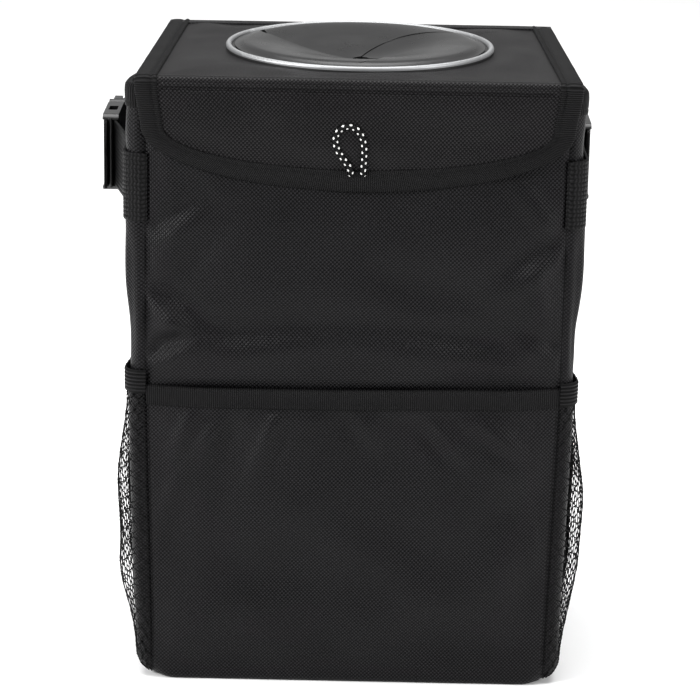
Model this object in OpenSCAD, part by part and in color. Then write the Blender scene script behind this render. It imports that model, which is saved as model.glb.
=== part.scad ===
// Soft-sided car bin: a stiffened fabric box with a hinged lid, a swirl-slit waste insert,
// a front flap, a front pocket, two mesh side pockets and a buckled rear strap.
// Millimetres. +Z is up, the front faces -Y and the origin is under the middle of the base.

/* [Body] */
// Width across the side panels
body_w = 246; // [230:1:300]
// Depth from the front panel to the back panel
body_d = 172; // [166:1:220]
// Height of the walls, without the lid
body_h = 342; // [300:1:420]
// Outside radius of the upright corners
corner_r = 9; // [7:0.5:15]
// Thickness of the coated outer fabric
fabric_t = 1; // [0.6:0.1:1.6]
// Thickness of the stiffener boards
board_t = 2; // [1:0.1:3]
// Thickness of the waterproof liner
liner_t = 0.6; // [0.4:0.1:1]
// Thickness of one layer of binding tape
tape_t = 0.8; // [0.5:0.1:1]
// Width of the binding tape on each face
tape_w = 12.5; // [9:0.5:16]

/* [Front pocket] */
// Height of the front pocket
pocket_h = 176; // [120:1:220]
// How far the front pocket stands out from the panel
pocket_bulge = 8; // [7:0.5:14]
// Width of the pocket's slanting sides
pocket_run = 30; // [20:1:50]
// Height of the pocket's slanting foot
pocket_foot = 24; // [12:1:60]

/* [Mesh pockets] */
// Height of the mesh side pockets, with their elastic
mesh_h = 180; // [130:1:220]
// How far the mesh stands out from the side panel
mesh_bulge = 9; // [8:0.5:14]
// Length of each mesh pocket along the side
mesh_span = 148; // [110:1:152]
// Thickness of the knitted mesh
mesh_t = 1; // [0.8:0.1:1.6]
// Width of the mesh's slanting ends
mesh_run = 22; // [16:1:36]
// Height of the mesh's slanting foot
mesh_foot = 30; // [16:1:60]
// Across flats of one mesh hole
hole_af = 10; // [6:0.5:11]
// Thickness of the elastic band
elastic_t = 1.8; // [1.2:0.1:2.6]
// Height of the elastic band
elastic_h = 13; // [8:0.5:20]

/* [Lid] */
// Width of the lid and its flap
lid_w = 240; // [226:1:300]
// Gap between the lid and the bound rim
lid_gap = 0.4; // [0.3:0.1:1]
// Length of the flap's straight sides
flap_side = 27; // [22:1:40]
// Depth of the flap's curved part below its straight sides
flap_curve = 34.5; // [20:0.5:50]
// Thickness of the padded flap
flap_t = 2; // [1.4:0.1:3]
// Clearance between the flap and what it closes on
flap_gap = 0.3; // [0.3:0.1:1]
// Width of the hook and loop fastener
fastener_w = 60; // [30:1:90]
// Height of the hook and loop fastener
fastener_h = 20; // [10:1:24]
// Diameter of the elastic pull cord
cord_d = 3.3; // [2.5:0.1:4]

/* [Swirl insert] */
// Width of lid between the bright ring and the body's front, before it is set back
insert_rim = 10.5; // [8:0.5:40]
// Distance from the middle of the lid back to the insert's centre
insert_back = 5; // [0:0.5:5]
// Radial width of the bright ring
ring_w = 3; // [2:0.1:4]
// Height of the bright ring
ring_h = 2.2; // [1.6:0.1:3]
// Thickness of the insert frame's flange
flange_t = 1.2; // [1:0.1:2]
// Wall of the insert frame's barrel
barrel_t = 2; // [1.4:0.1:3]
// Depth of the barrel below the lid's top
barrel_h = 8; // [7:0.5:12]
// Radial width of the clamp ring
clamp_w = 5; // [3:0.5:6]
// Thickness of the clamp ring
clamp_t = 2.4; // [1.5:0.1:3]
// Thickness of the rubber diaphragm
rubber_t = 1.4; // [1:0.1:2]
// Height of the diaphragm's crest above its rim
crest_h = 3; // [1:0.5:5]
// Depth of the diaphragm's middle below its rim
dip_h = 6; // [3:0.5:8]
// Width of a swirl slit
slit_w = 0.8; // [0.5:0.1:1.5]
// Half of the angle that a swirl slit turns through
slit_bend = 52; // [20:1:70]

/* [Straps and buckles] */
// Width of the webbing
strap_w = 38; // [25:1:40]
// Thickness of the webbing
strap_t = 1.6; // [1.2:0.1:2]
// Distance from the rim down to the webbing's top edge
strap_drop = 37; // [34:1:70]
// How far the left buckle is pulled away from the side
stand_left = 14; // [1:0.5:20]
// How far the right buckle stands away from the side
stand_right = 1; // [1:0.5:20]
// Slack between the rear webbing and the back panel
strap_slack = 7.2; // [6:0.1:20]
// Thickness of the buckles
buckle_t = 9; // [8:0.5:12]
// Radius of the bar that the webbing turns round
bar_r = 1.6; // [1.4:0.1:2.2]

/* [Hidden] */
$fn = 96;

// Colours of the finishes
FABRIC = "#26262a";
TAPE = "#18181a";
WEBBING = "#141416";
BOARD = "#5a5a5c";
LINING = "#3a3a3e";
PLASTIC = "#101012";
RUBBER = "#3c3d40";
SILVER = "#d2d3d5";

// Walls, from the outside in
front_y = -body_d / 2;
back_y = body_d / 2;
side_x = body_w / 2;
seam_x = side_x - corner_r;
liner_in = fabric_t + board_t;
wall_t = liner_in + liner_t;
lid_x = lid_w / 2;
rim_z = body_h + tape_t;
past = 1;

// Lid stack, from the bound underside up
lid_z = rim_z + lid_gap + tape_t;
lid_t = liner_t + board_t + fabric_t;
lid_top = lid_z + lid_t;
lid_front_y = front_y - tape_t;
lid_back_y = back_y + tape_t + lid_gap;
lid_l = lid_back_y - lid_front_y;

// Flap, hung in front of the rim
flap_in_y = lid_front_y - flap_gap - tape_t;
flap_out_y = flap_in_y - flap_t;
flap_steps = 24;
fastener_z = lid_top - flap_side - flap_curve + tape_w + 3;

// Insert, centred on the waste hole
insert_y = insert_back;
ring_ro = body_d / 2 - insert_rim;
ring_ri = ring_ro - ring_w;
rubber_ro = ring_ri - 0.4;
clamp_ro = ring_ro - 0.5;
barrel_ro = clamp_ro - clamp_w;
barrel_ri = barrel_ro - barrel_t;
lid_hole_r = barrel_ro + 0.3;
rim_seat_z = lid_top + flange_t;
rubber_z = rim_seat_z + rubber_t;
crest_r = rubber_ro - 9;
slit_out = 0.92 * rubber_ro;

// Webbing and buckles
strap_z = body_h - strap_drop - strap_w / 2;
strap_lie = strap_t / 2 + 0.2;
loop_r = bar_r + strap_t / 2 + 0.2;
leave_y = -48;
bar_y = 0;
tail_l = 9;
slot_l = loop_r + strap_t;
buckle_w = strap_w + 6;
buckle_l = 40;
cavity_w = buckle_w - 8;
cavity_t = buckle_t - 4;
cavity_u = bar_r + slot_l + 3;
window_u = cavity_u + 5;
window_l = 11;
male_u = buckle_l + 0.3;
male_block = 7;
male_l = male_block + slot_l + 2 * bar_r + 2;
male_bar_u = male_u + male_l - bar_r - 1;
arm_w = 3;
arm_l = buckle_l - cavity_u - 3;
play = 0.3;
cheek_w = (buckle_w - strap_w) / 2 - play;
cheek_v = (buckle_w - cheek_w) / 2;

// Route of the elastic pull cord: [x, drop below the fold], from one end to the other
CORD_ROUTE = [
    [-3.9, 48.2], [-5, 46], [-8, 42], [-11, 37], [-12, 32], [-10.5, 27.5], [-6.5, 25],
    [-2, 25.5], [1.5, 29], [3.2, 34], [3.6, 40], [3.3, 46], [3.2, 48.2]
];
cord_sides = 8;
cord_y = flap_out_y - cord_d / 2 - 0.1;

// Points along an arc about c
function arc_points(c, r, from, to, n) =
    [for (i = [0:n]) c + r * [cos(from + (to - from) * i / n), sin(from + (to - from) * i / n)]];

// Unit vector from a to b
function along(a, b) = (b - a) / norm(b - a);

// Left-hand normal of a 2D direction
function left_of(d) = [-d[1], d[0]];

// Mitred normal of a 2D path at its point i
function mitre(p, i) =
    let (
        n = len(p),
        before = left_of(along(p[max(i - 1, 0)], p[max(i, 1)])),
        after = left_of(along(p[min(i, n - 2)], p[min(i + 1, n - 1)]))
    )
    (before + after) / (1 + before * after);

// A 2D path moved to its left by d
function moved_path(p, d) = [for (i = [0:len(p) - 1]) p[i] + d * mitre(p, i)];

function reversed(p) = [for (i = [len(p) - 1:-1:0]) p[i]];

// Outline of a ribbon of thickness t laid along a 2D path
function ribbon(p, t) = concat(moved_path(p, t / 2), reversed(moved_path(p, -t / 2)));

function mirrored(p) = [for (q = p) [-q[0], q[1]]];

module rounded_rect(w, d, r) {
    square([w - 2 * r, d], center = true);
    square([w, d - 2 * r], center = true);
    for (x = [-1, 1], y = [-1, 1])
        translate([x * (w / 2 - r), y * (d / 2 - r)]) circle(r);
}

// The body's plan, drawn in from its outer face by inset
module body_plan(inset) {
    rounded_rect(body_w - 2 * inset, body_d - 2 * inset, corner_r - inset);
}

// Keeps what lies to one side of the front corner seams, side = 1 right or -1 left
module beyond_seam(side) {
    intersection() {
        children();
        translate([side * (seam_x + side_x), 0, 0])
            cube([2 * side_x, 2 * body_d, 3 * body_h], center = true);
    }
}

// One outer wall sheet with both of its rounded corners
module side_panel(side) {
    color(FABRIC)
        beyond_seam(side)
        translate([0, 0, fabric_t])
        linear_extrude(body_h - fabric_t)
        difference() {
            body_plan(0);
            body_plan(fabric_t);
        }
}

module flat_panel(y) {
    color(FABRIC)
        translate([-seam_x, y, fabric_t])
        cube([2 * seam_x, fabric_t, body_h - fabric_t]);
}

module base_panel() {
    color(FABRIC) linear_extrude(fabric_t) body_plan(0);
}

// Board behind the front or back panel, with its outer face at y
module flat_board(y) {
    color(BOARD)
        translate([-seam_x, y, liner_in])
        cube([2 * seam_x, board_t, body_h - liner_in]);
}

module side_board(side) {
    l = body_d - 2 * corner_r;
    color(BOARD)
        translate([side * (side_x - fabric_t - board_t / 2), 0, liner_in + (body_h - liner_in) / 2])
        cube([board_t, l, body_h - liner_in], center = true);
}

module base_board() {
    color(BOARD)
        translate([0, 0, fabric_t])
        linear_extrude(board_t) body_plan(liner_in);
}

// Welded one-piece tray that keeps the bin waterproof
module liner() {
    color(LINING) {
        translate([0, 0, liner_in]) linear_extrude(liner_t) body_plan(liner_in);
        translate([0, 0, liner_in])
            linear_extrude(body_h - liner_in)
            difference() {
                body_plan(liner_in);
                body_plan(wall_t);
            }
    }
}

// Tape folded over the top edge of all the wall layers
module rim_binding() {
    color(TAPE) {
        translate([0, 0, body_h - tape_w])
            linear_extrude(tape_w)
            difference() {
                body_plan(-tape_t);
                body_plan(0);
            }
        translate([0, 0, body_h - tape_w])
            linear_extrude(tape_w)
            difference() {
                body_plan(wall_t);
                body_plan(wall_t + tape_t);
            }
        translate([0, 0, body_h])
            linear_extrude(tape_t)
            difference() {
                body_plan(-tape_t);
                body_plan(wall_t + tape_t);
            }
    }
}

// Plan and side outlines of a sewn-on pouch that stands out along -Y from y = 0
function pouch_plan(span, bulge, run) =
    [[-span / 2, 0], [-span / 2 + run, -bulge], [span / 2 - run, -bulge], [span / 2, 0]];
function pouch_side(h, bulge, foot) = [[0, 0], [-bulge, foot], [-bulge, h + past]];

// The space inside a pouch whose sheet is moved in by inset
module pouch_space(span, h, bulge, run, foot, inset) {
    plan = moved_path(pouch_plan(span, bulge, run), inset);
    side = moved_path(pouch_side(h, bulge, foot), -inset);
    intersection() {
        translate([0, 0, -past])
            linear_extrude(h + 2 * past)
            polygon(concat(plan, [[plan[3][0], bulge], [plan[0][0], bulge]]));
        translate([-span, 0, 0])
            rotate([90, 0, 90])
            linear_extrude(2 * span)
            polygon(concat(side, [[bulge, h + past], [bulge, side[0][1]]]));
    }
}

// One layer of a pouch, between two insets and two heights, cut off at the wall it is sewn to
module pouch_layer(span, h, bulge, run, foot, outer, inner, low, high) {
    intersection() {
        difference() {
            pouch_space(span, h, bulge, run, foot, outer);
            pouch_space(span, h, bulge, run, foot, inner);
        }
        translate([-span / 2, -2 * bulge, low]) cube([span, 2 * bulge, high - low]);
    }
}

module pocket_layer(outer, inner, low, high) {
    translate([0, front_y, 0])
        pouch_layer(2 * seam_x, pocket_h, pocket_bulge, pocket_run, pocket_foot,
            outer, inner, low, high);
}

module front_pocket() {
    color(FABRIC) pocket_layer(0, fabric_t, 0, pocket_h - tape_t);
}

// Tape folded over the pocket's top edge
module pocket_binding() {
    color(TAPE) {
        pocket_layer(-tape_t, 0, pocket_h - tape_w, pocket_h);
        pocket_layer(fabric_t, fabric_t + tape_t, pocket_h - tape_w, pocket_h);
        pocket_layer(0, fabric_t, pocket_h - tape_t, pocket_h);
    }
}

// Places a pouch on a side wall, side = 1 right or -1 left
module on_side(side) {
    translate([side * side_x, 0, 0]) rotate([0, 0, side * 90]) children();
}

module mesh_layer(outer, inner, low, high) {
    pouch_layer(mesh_span, mesh_h, mesh_bulge, mesh_run, mesh_foot, outer, inner, low, high);
}

// Staggered rows of six-sided holes through the mesh
module mesh_holes() {
    pitch = hole_af * 1.36;
    row_h = pitch * 0.87;
    field_w = mesh_span - 14;
    low = 12;
    field_h = mesh_h - elastic_h - low;
    columns = floor(field_w / pitch);
    rows = min(floor(field_h / row_h), floor(120 / columns));
    gap = field_h / rows;
    for (row = [0:rows - 1], column = [0:columns - 1 - row % 2])
        translate([(column - (columns - 1 - row % 2) / 2) * pitch, 0, low + (row + 0.5) * gap])
            rotate([90, 30, 0])
            linear_extrude(4 * mesh_bulge, center = true)
            circle(hole_af / sqrt(3), $fn = 6);
}

module mesh_pocket(side) {
    color(TAPE)
        on_side(side)
        difference() {
            mesh_layer(0, mesh_t, 0, mesh_h - elastic_h);
            mesh_holes();
        }
}

module mesh_elastic(side) {
    color(TAPE) on_side(side) mesh_layer(0, elastic_t, mesh_h - elastic_h, mesh_h);
}

// The turn of webbing round a bar, seen on the right: inner side, rear, outer side
function bar_turn(bar, from, to) = arc_points(bar, loop_r, from, to, 6);
function bar_at(stand, u) = [side_x + strap_lie + stand + loop_r, bar_y + u];

// Right-hand route of the side webbing, sewn in at the front corner and round the buckle's bar
function side_route(stand) =
    let (bar = bar_at(stand, 0))
    concat(
        [[seam_x, front_y - strap_lie]],
        arc_points([seam_x, front_y + corner_r], corner_r + strap_lie, -75, 0, 5),
        [[side_x + strap_lie, leave_y]],
        bar_turn(bar, 180, 0),
        [bar + [-0.4, -tail_l]]
    );

module side_strap(side, stand) {
    route = side_route(stand);
    path = side > 0 ? route : mirrored(route);
    color(WEBBING)
        translate([0, 0, strap_z - strap_w / 2])
        linear_extrude(strap_w)
        polygon(ribbon(path, strap_t));
}

// Right-hand half of the rear webbing, from the male buckle's bar to the middle of the back
function rear_route(stand) =
    let (bar = bar_at(stand, male_bar_u), r = corner_r + strap_slack + strap_t / 2)
    concat(
        [bar + [-0.4, tail_l]],
        bar_turn(bar, 0, -180),
        [bar + [-loop_r, tail_l + strap_t]],
        arc_points([seam_x, back_y - corner_r], r, 10, 90, 7)
    );

module rear_strap() {
    path = concat(rear_route(stand_right), reversed(mirrored(rear_route(stand_left))));
    color(WEBBING)
        translate([0, 0, strap_z - strap_w / 2])
        linear_extrude(strap_w)
        polygon(ribbon(path, strap_t));
}

// Lays a buckle drawn along +X, with its width on Y, along the side wall from its bar
module at_bar(side, stand) {
    translate([side * bar_at(stand, 0)[0], bar_y, strap_z])
        rotate([90, 0, 90])
        children();
}

// A plate from u0 to u1, w wide and t thick, with rounded corners
module plate(u0, u1, w, t, r) {
    translate([(u0 + u1) / 2, 0, -t / 2])
        linear_extrude(t)
        rounded_rect(u1 - u0, w, r);
}

module bar(u) {
    translate([u, 0, 0])
        rotate([90, 0, 0])
        cylinder(h = buckle_w - 4, r = bar_r, center = true, $fn = 32);
}

// Socket half: webbing bar and slot, a mouth for the tongue and two side windows
module buckle_female(side, stand) {
    color(PLASTIC)
        at_bar(side, stand) {
            difference() {
                plate(-bar_r, buckle_l, buckle_w, buckle_t, 4);
                translate([(slot_l - past) / 2, 0, 0])
                    cube([slot_l + 2 * bar_r + past, strap_w + 2 * play, buckle_t + past],
                        center = true);
                translate([cavity_u, -cavity_w / 2, -cavity_t / 2])
                    cube([buckle_l, cavity_w, cavity_t]);
                for (v = [-1, 1])
                    translate([window_u, v * buckle_w / 2 - 5, -cavity_t / 2])
                        cube([window_l, 10, cavity_t]);
                for (f = [-1, 1], i = [0:2])
                    translate([window_u + 3 * i + 1, 0, f * buckle_t / 2])
                        cube([1.2, buckle_w - 16, 1], center = true);
            }
            bar(0);
        }
}

// Tongue half: block, two spring arms with rounded catches, a guide and a webbing bar
module buckle_male(side, stand) {
    arm_v = cavity_w / 2 - play - arm_w;
    arm_t = cavity_t - 2 * play;
    color(PLASTIC)
        at_bar(side, stand) {
            plate(male_u, male_u + male_block, buckle_w, buckle_t, 2);
            for (v = [-1, 1]) {
                translate([male_u - arm_l, v * (arm_v + arm_w / 2) - arm_w / 2, -arm_t / 2])
                    cube([arm_l + past, arm_w, arm_t]);
                translate([male_u - arm_l, v * (arm_v + arm_w / 2), -arm_t / 2])
                    cylinder(h = arm_t, r = arm_w / 2, $fn = 32);
                translate([male_u + male_block - past, v * cheek_v - cheek_w / 2, -buckle_t / 4])
                    cube([male_l - male_block, cheek_w, buckle_t / 2]);
            }
            translate([male_u - arm_l + 3, -3, -arm_t / 2]) cube([arm_l - 2, 6, arm_t]);
            bar(male_bar_u);
        }
}

// One flat layer of the lid with its waste hole
module lid_layer(z, t, hole_r) {
    translate([0, 0, z])
        linear_extrude(t)
        difference() {
            translate([-lid_x + tape_t, lid_front_y]) square([lid_w - 2 * tape_t, lid_l]);
            translate([0, insert_y]) circle(hole_r);
        }
}

module lid_lining() {
    color(LINING) lid_layer(lid_z, liner_t, lid_hole_r);
}

module lid_board() {
    color(BOARD) lid_layer(lid_z + liner_t, board_t, lid_hole_r);
}

module lid_panel() {
    color(FABRIC) lid_layer(lid_top - fabric_t, fabric_t, lid_hole_r);
}

// Tape folded over one side edge of the lid
module lid_binding(side) {
    color(TAPE)
        translate([side * (lid_x - tape_w / 2), lid_front_y, lid_z - tape_t])
        difference() {
            translate([-tape_w / 2, 0, 0]) cube([tape_w, lid_l, lid_t + 2 * tape_t]);
            translate([-tape_w / 2 - side * tape_t, -past, tape_t])
                cube([tape_w, lid_l + 2 * past, lid_t]);
        }
}

// Flanged barrel through the lid, with the step that the rubber rim sits on
module insert_frame() {
    color(PLASTIC)
        translate([0, insert_y, 0])
        rotate_extrude()
        polygon([
            [barrel_ri, lid_top - barrel_h],
            [barrel_ro, lid_top - barrel_h],
            [barrel_ro, lid_top],
            [ring_ro - 0.3, lid_top],
            [ring_ro - 0.3, rim_seat_z],
            [barrel_ri, rim_seat_z]
        ]);
}

// Bright ring with a rounded top edge
module trim_ring() {
    edge_r = ring_w / 2;
    color(SILVER)
        translate([0, insert_y, 0])
        rotate_extrude()
        union() {
            translate([ring_ri, rim_seat_z]) square([ring_w, ring_h - edge_r]);
            intersection() {
                translate([ring_ri + edge_r, rim_seat_z + ring_h - edge_r]) circle(edge_r, $fn = 32);
                translate([ring_ri, rim_seat_z]) square([ring_w, ring_h]);
            }
        }
}

// Height of the rubber above its rim at radius r: a dished middle inside a raised crest
function rubber_rise(r) =
    r < crest_r
    ? -dip_h + (dip_h + crest_h) * (1 - cos(180 * r / crest_r)) / 2
    : crest_h * (1 + cos(180 * (r - crest_r) / (rubber_ro - crest_r))) / 2;

// One swirl slit from the middle to the outer end, bowed to one side, with a wider end
module swirl_slit() {
    chord = slit_out;
    curve_r = chord / 2 / sin(slit_bend);
    centre = [chord / 2, -curve_r * cos(slit_bend)];
    path = arc_points(centre, curve_r, 90 + slit_bend, 90 - slit_bend, 16);
    polygon(ribbon(path, slit_w));
    translate(path[16] - [1.5, -1.5]) circle(1.6, $fn = 24);
}

// Moulded rubber disc cut into three overlapping petals
module diaphragm() {
    steps = 14;
    radii = [for (i = [0:steps]) rubber_ro * i / steps];
    color(RUBBER)
        translate([0, insert_y, 0])
        difference() {
            translate([0, 0, rubber_z])
                rotate_extrude()
                polygon(concat(
                    [for (r = radii) [r, rubber_rise(r)]],
                    [for (r = reversed(radii)) [r, rubber_rise(r) - rubber_t]]
                ));
            translate([0, 0, rubber_z - 3 * dip_h])
                linear_extrude(6 * dip_h)
                for (i = [0:2]) rotate(30 + 120 * i) swirl_slit();
            translate([0, 0, rubber_z - 3 * dip_h]) cylinder(h = 6 * dip_h, r = 2, $fn = 24);
        }
}

// Ring snapped on the barrel under the lid
module clamp_ring() {
    color(PLASTIC)
        translate([0, insert_y, lid_z - clamp_t])
        linear_extrude(clamp_t)
        difference() {
            circle(clamp_ro);
            circle(barrel_ro);
        }
}

// Outline of the flap, with the fold at y = 0 and the tip down, drawn in by inset
function flap_outline(inset) =
    let (a = lid_x - inset, b = flap_curve - inset)
    concat(
        [[-a, 0]],
        [for (i = [0:flap_steps]) let (q = 180 + 180 * i / flap_steps)
            [a * cos(q), -flap_side + b * sin(q)]],
        [[a, 0]]
    );

// Stands a flap outline up between two depths
module flap_slab(outline, y_out, t) {
    translate([0, y_out + t, lid_top])
        rotate([90, 0, 0])
        linear_extrude(t)
        polygon(outline);
}

module front_flap() {
    color(FABRIC) flap_slab(flap_outline(tape_t), flap_out_y, flap_t);
}

// Tape folded round the flap's sides and curved edge
module flap_binding() {
    color(TAPE)
        difference() {
            flap_slab(flap_outline(0), flap_out_y - tape_t, flap_t + 2 * tape_t);
            flap_slab([for (q = flap_outline(tape_w)) q + [0, q[1] == 0 ? past : 0]],
                flap_out_y - tape_t - past, flap_t + 2 * tape_t + 2 * past);
            front_flap();
        }
}

// Hook half on the back of the flap and loop half on the front panel, one thickness of tape each
module fastener(y) {
    color(WEBBING)
        translate([-fastener_w / 2, y, fastener_z])
        cube([fastener_w, tape_t, fastener_h]);
}

// Eight-sided tube swept along the pull cord's route
module cord_loop() {
    n = len(CORD_ROUTE);
    p = [for (q = CORD_ROUTE) [q[0], lid_top - q[1]]];
    rings = [for (i = [0:n - 1]) let (m = mitre(p, i))
        [for (k = [0:cord_sides - 1]) let (a = 360 * k / cord_sides)
            [p[i][0] + m[0] * cord_d / 2 * cos(a), cord_y + cord_d / 2 * sin(a),
             p[i][1] + m[1] * cord_d / 2 * cos(a)]]];
    points = [for (ring = rings) for (v = ring) v];
    sides = [for (i = [0:n - 2], k = [0:cord_sides - 1]) let (next = (k + 1) % cord_sides)
        [i * cord_sides + k, i * cord_sides + next,
         (i + 1) * cord_sides + next, (i + 1) * cord_sides + k]];
    first = [for (k = [cord_sides - 1:-1:0]) k];
    last = [for (k = [0:cord_sides - 1]) (n - 1) * cord_sides + k];
    color(WEBBING) polyhedron(points, concat(sides, [first, last]), convexity = 4);
}

flat_panel(front_y);  // front_panel
flat_panel(back_y - fabric_t);  // back_panel
side_panel(-1);  // side_panel_left
side_panel(1);  // side_panel_right
base_panel();
flat_board(front_y + fabric_t);  // front_board
flat_board(back_y - liner_in);  // back_board
side_board(-1);  // side_board_left
side_board(1);  // side_board_right
base_board();
liner();
rim_binding();
fastener(front_y - tape_t);  // loop_tape
front_pocket();
pocket_binding();
mesh_pocket(-1);  // mesh_pocket_left
mesh_pocket(1);  // mesh_pocket_right
mesh_elastic(-1);  // mesh_elastic_left
mesh_elastic(1);  // mesh_elastic_right
side_strap(-1, stand_left);  // side_strap_left
side_strap(1, stand_right);  // side_strap_right
buckle_female(-1, stand_left);  // buckle_female_left
buckle_female(1, stand_right);  // buckle_female_right
rear_strap();
buckle_male(-1, stand_left);  // buckle_male_left
buckle_male(1, stand_right);  // buckle_male_right
lid_panel();
lid_board();
lid_lining();
lid_binding(-1);  // lid_binding_left
lid_binding(1);  // lid_binding_right
insert_frame();
trim_ring();
diaphragm();
clamp_ring();
front_flap();
flap_binding();
fastener(flap_in_y);  // hook_tape
cord_loop();
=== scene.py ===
"""Dresses the soft-sided car bin: coated fabric, ribbed tape, webbing, knitted net and swirl insert."""

import logging
import math
from collections.abc import Callable
from dataclasses import dataclass, field
from enum import Enum
from typing import Protocol

import bmesh
import bpy
import numpy as np
from mathutils import Matrix, Vector


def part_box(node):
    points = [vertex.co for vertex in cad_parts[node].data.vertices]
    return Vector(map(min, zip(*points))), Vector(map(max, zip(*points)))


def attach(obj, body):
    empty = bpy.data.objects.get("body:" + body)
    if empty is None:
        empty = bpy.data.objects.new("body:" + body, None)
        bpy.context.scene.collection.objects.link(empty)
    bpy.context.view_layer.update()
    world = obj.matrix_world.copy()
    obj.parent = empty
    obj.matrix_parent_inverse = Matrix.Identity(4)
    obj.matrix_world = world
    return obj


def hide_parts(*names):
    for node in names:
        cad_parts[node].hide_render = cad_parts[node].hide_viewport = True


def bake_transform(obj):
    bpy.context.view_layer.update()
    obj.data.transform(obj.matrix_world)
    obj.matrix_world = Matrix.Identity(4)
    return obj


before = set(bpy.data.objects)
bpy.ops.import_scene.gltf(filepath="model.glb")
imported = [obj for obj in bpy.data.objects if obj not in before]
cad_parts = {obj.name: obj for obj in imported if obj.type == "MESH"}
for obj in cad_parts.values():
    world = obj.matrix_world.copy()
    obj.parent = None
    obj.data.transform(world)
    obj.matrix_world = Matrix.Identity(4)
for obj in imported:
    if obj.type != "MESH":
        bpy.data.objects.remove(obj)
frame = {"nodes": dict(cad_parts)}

Array = np.ndarray
Piece = bpy.types.Object
Material = bpy.types.Material
Colour = tuple[float, float, float]
Place = tuple[float, float, float]

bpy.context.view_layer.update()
LOG = logging.getLogger("bin")
MM = 0.001
TURN = 2 * math.pi
CLOTH_MAP = "cloth"
BEVEL_ABOVE = 40


# Numbers and lines


def smooth(value: Array, low: float, high: float) -> Array:
    """Eases a value from 0 at low to 1 at high.

    Args:
        value: The values to ease.
        low: Where the result is 0.
        high: Where the result is 1.

    Returns:
        The eased values.
    """
    t = np.clip((np.asarray(value, float) - low) / (high - low), 0, 1)
    return t * t * (3 - 2 * t)


def ease(value: Array, low: float, high: float) -> Array:
    """Does what smooth does for a value in metres, with low and high in millimetres."""
    return smooth(value, low * MM, high * MM)


def bump(value: Array, middle: float, width: float) -> Array:
    """Returns a rounded bump, 1 high at middle and almost 0 at twice its width away."""
    return np.exp(-((value - middle) / width) ** 2)


def unit(vectors: Array) -> Array:
    """Returns the vectors at length 1."""
    return vectors / np.maximum(np.linalg.norm(vectors, axis=-1, keepdims=True), 1e-12)


def lengths(points: Array) -> Array:
    """Returns the distance run along a line at each of its points."""
    steps = np.linalg.norm(np.diff(points, axis=0), axis=1)
    return np.concatenate([[0.0], np.cumsum(steps)])


def evenly(points: Array, step: float) -> Array:
    """Places points about step apart along a line, with its ends kept.

    Args:
        points: The line's points.
        step: The usual distance between the new points.

    Returns:
        The new points.
    """
    run = lengths(points)
    count = max(2, int(round(run[-1] / step)) + 1)
    at = np.linspace(0, run[-1], count)
    return np.stack([np.interp(at, run, points[:, k]) for k in range(points.shape[1])], 1)


def curve_through(points: Array, each: int = 8) -> Array:
    """Runs a smooth curve through points.

    Args:
        points: The points, in order.
        each: How many steps there are between two points.

    Returns:
        The curve's points, the given ones among them.
    """
    p = np.vstack([2 * points[0] - points[1], points, 2 * points[-1] - points[-2]])
    t = (np.arange(each) / each)[:, None]
    a, b, c, d = (p[k:len(p) - 3 + k, None] for k in range(4))
    steps = 0.5 * (2 * b + (c - a) * t + (2 * a - 5 * b + 4 * c - d) * t ** 2
                   + (3 * b - a - 3 * c + d) * t ** 3)
    return np.vstack([steps.reshape(-1, p.shape[1]), p[-2]])


def arc_points(start: float, stop: float, count: int) -> Array:
    """Returns points along an arc of radius 1, from one angle in degrees to another."""
    a = np.radians(np.linspace(start, stop, count))
    return joined(np.cos(a), np.sin(a))


def joined(*parts: Array | float) -> Array:
    """Joins coordinates along a new last axis, where a number serves for every point."""
    return np.stack(np.broadcast_arrays(*parts), -1)


def cloth_map(along: Array, up: Array) -> Array:
    """Returns a grid's cloth map, from the distances along its rows and up its columns."""
    return np.stack(np.meshgrid(along, up), -1)


def ripple(u: Array, v: Array, wave: float, seed: int) -> Array:
    """Gives a soft uneven surface as a sum of slanting waves.

    Args:
        u: One coordinate, in metres.
        v: The other coordinate, in metres.
        wave: The usual length of a wave, in metres.
        seed: Fixes the waves' directions.

    Returns:
        Heights of about -1 to 1.
    """
    draw = np.random.default_rng(seed)
    total = np.zeros(np.broadcast(u, v).shape)
    for _ in range(7):
        angle, phase = draw.uniform(0, TURN, 2)
        size = wave * draw.uniform(0.7, 1.8)
        total += np.sin(TURN * (u * math.cos(angle) + v * math.sin(angle)) / size + phase)
    return total / 4


@dataclass(frozen=True)
class Crease:
    """A soft fold in cloth: a ridge beside a hollow, fading at both ends."""

    across: float
    up: float
    angle: float
    length: float
    width: float
    depth: float

    @classmethod
    def table(cls, *rows: tuple[float, ...]) -> tuple["Crease", ...]:
        """Makes folds from rows of their numbers, in millimetres and for the angle in degrees."""
        return tuple(cls(across * MM, up * MM, angle, length * MM, width * MM, depth * MM)
                     for across, up, angle, length, width, depth in rows)

    def height(self, u: Array, v: Array) -> Array:
        """Works out how far the fold lifts the cloth.

        Args:
            u: Distances from the sheet's middle, in metres.
            v: Heights over the sheet's foot, in metres.

        Returns:
            The lift at each point, in metres.
        """
        c, s = math.cos(math.radians(self.angle)), math.sin(math.radians(self.angle))
        run = ((u - self.across) * c + (v - self.up) * s) / self.length
        side = ((v - self.up) * c - (u - self.across) * s) / self.width
        return self.depth * np.exp(-run ** 2) * (np.exp(-side ** 2) - 0.7 * np.exp(-(side + 1.5) ** 2))


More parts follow.
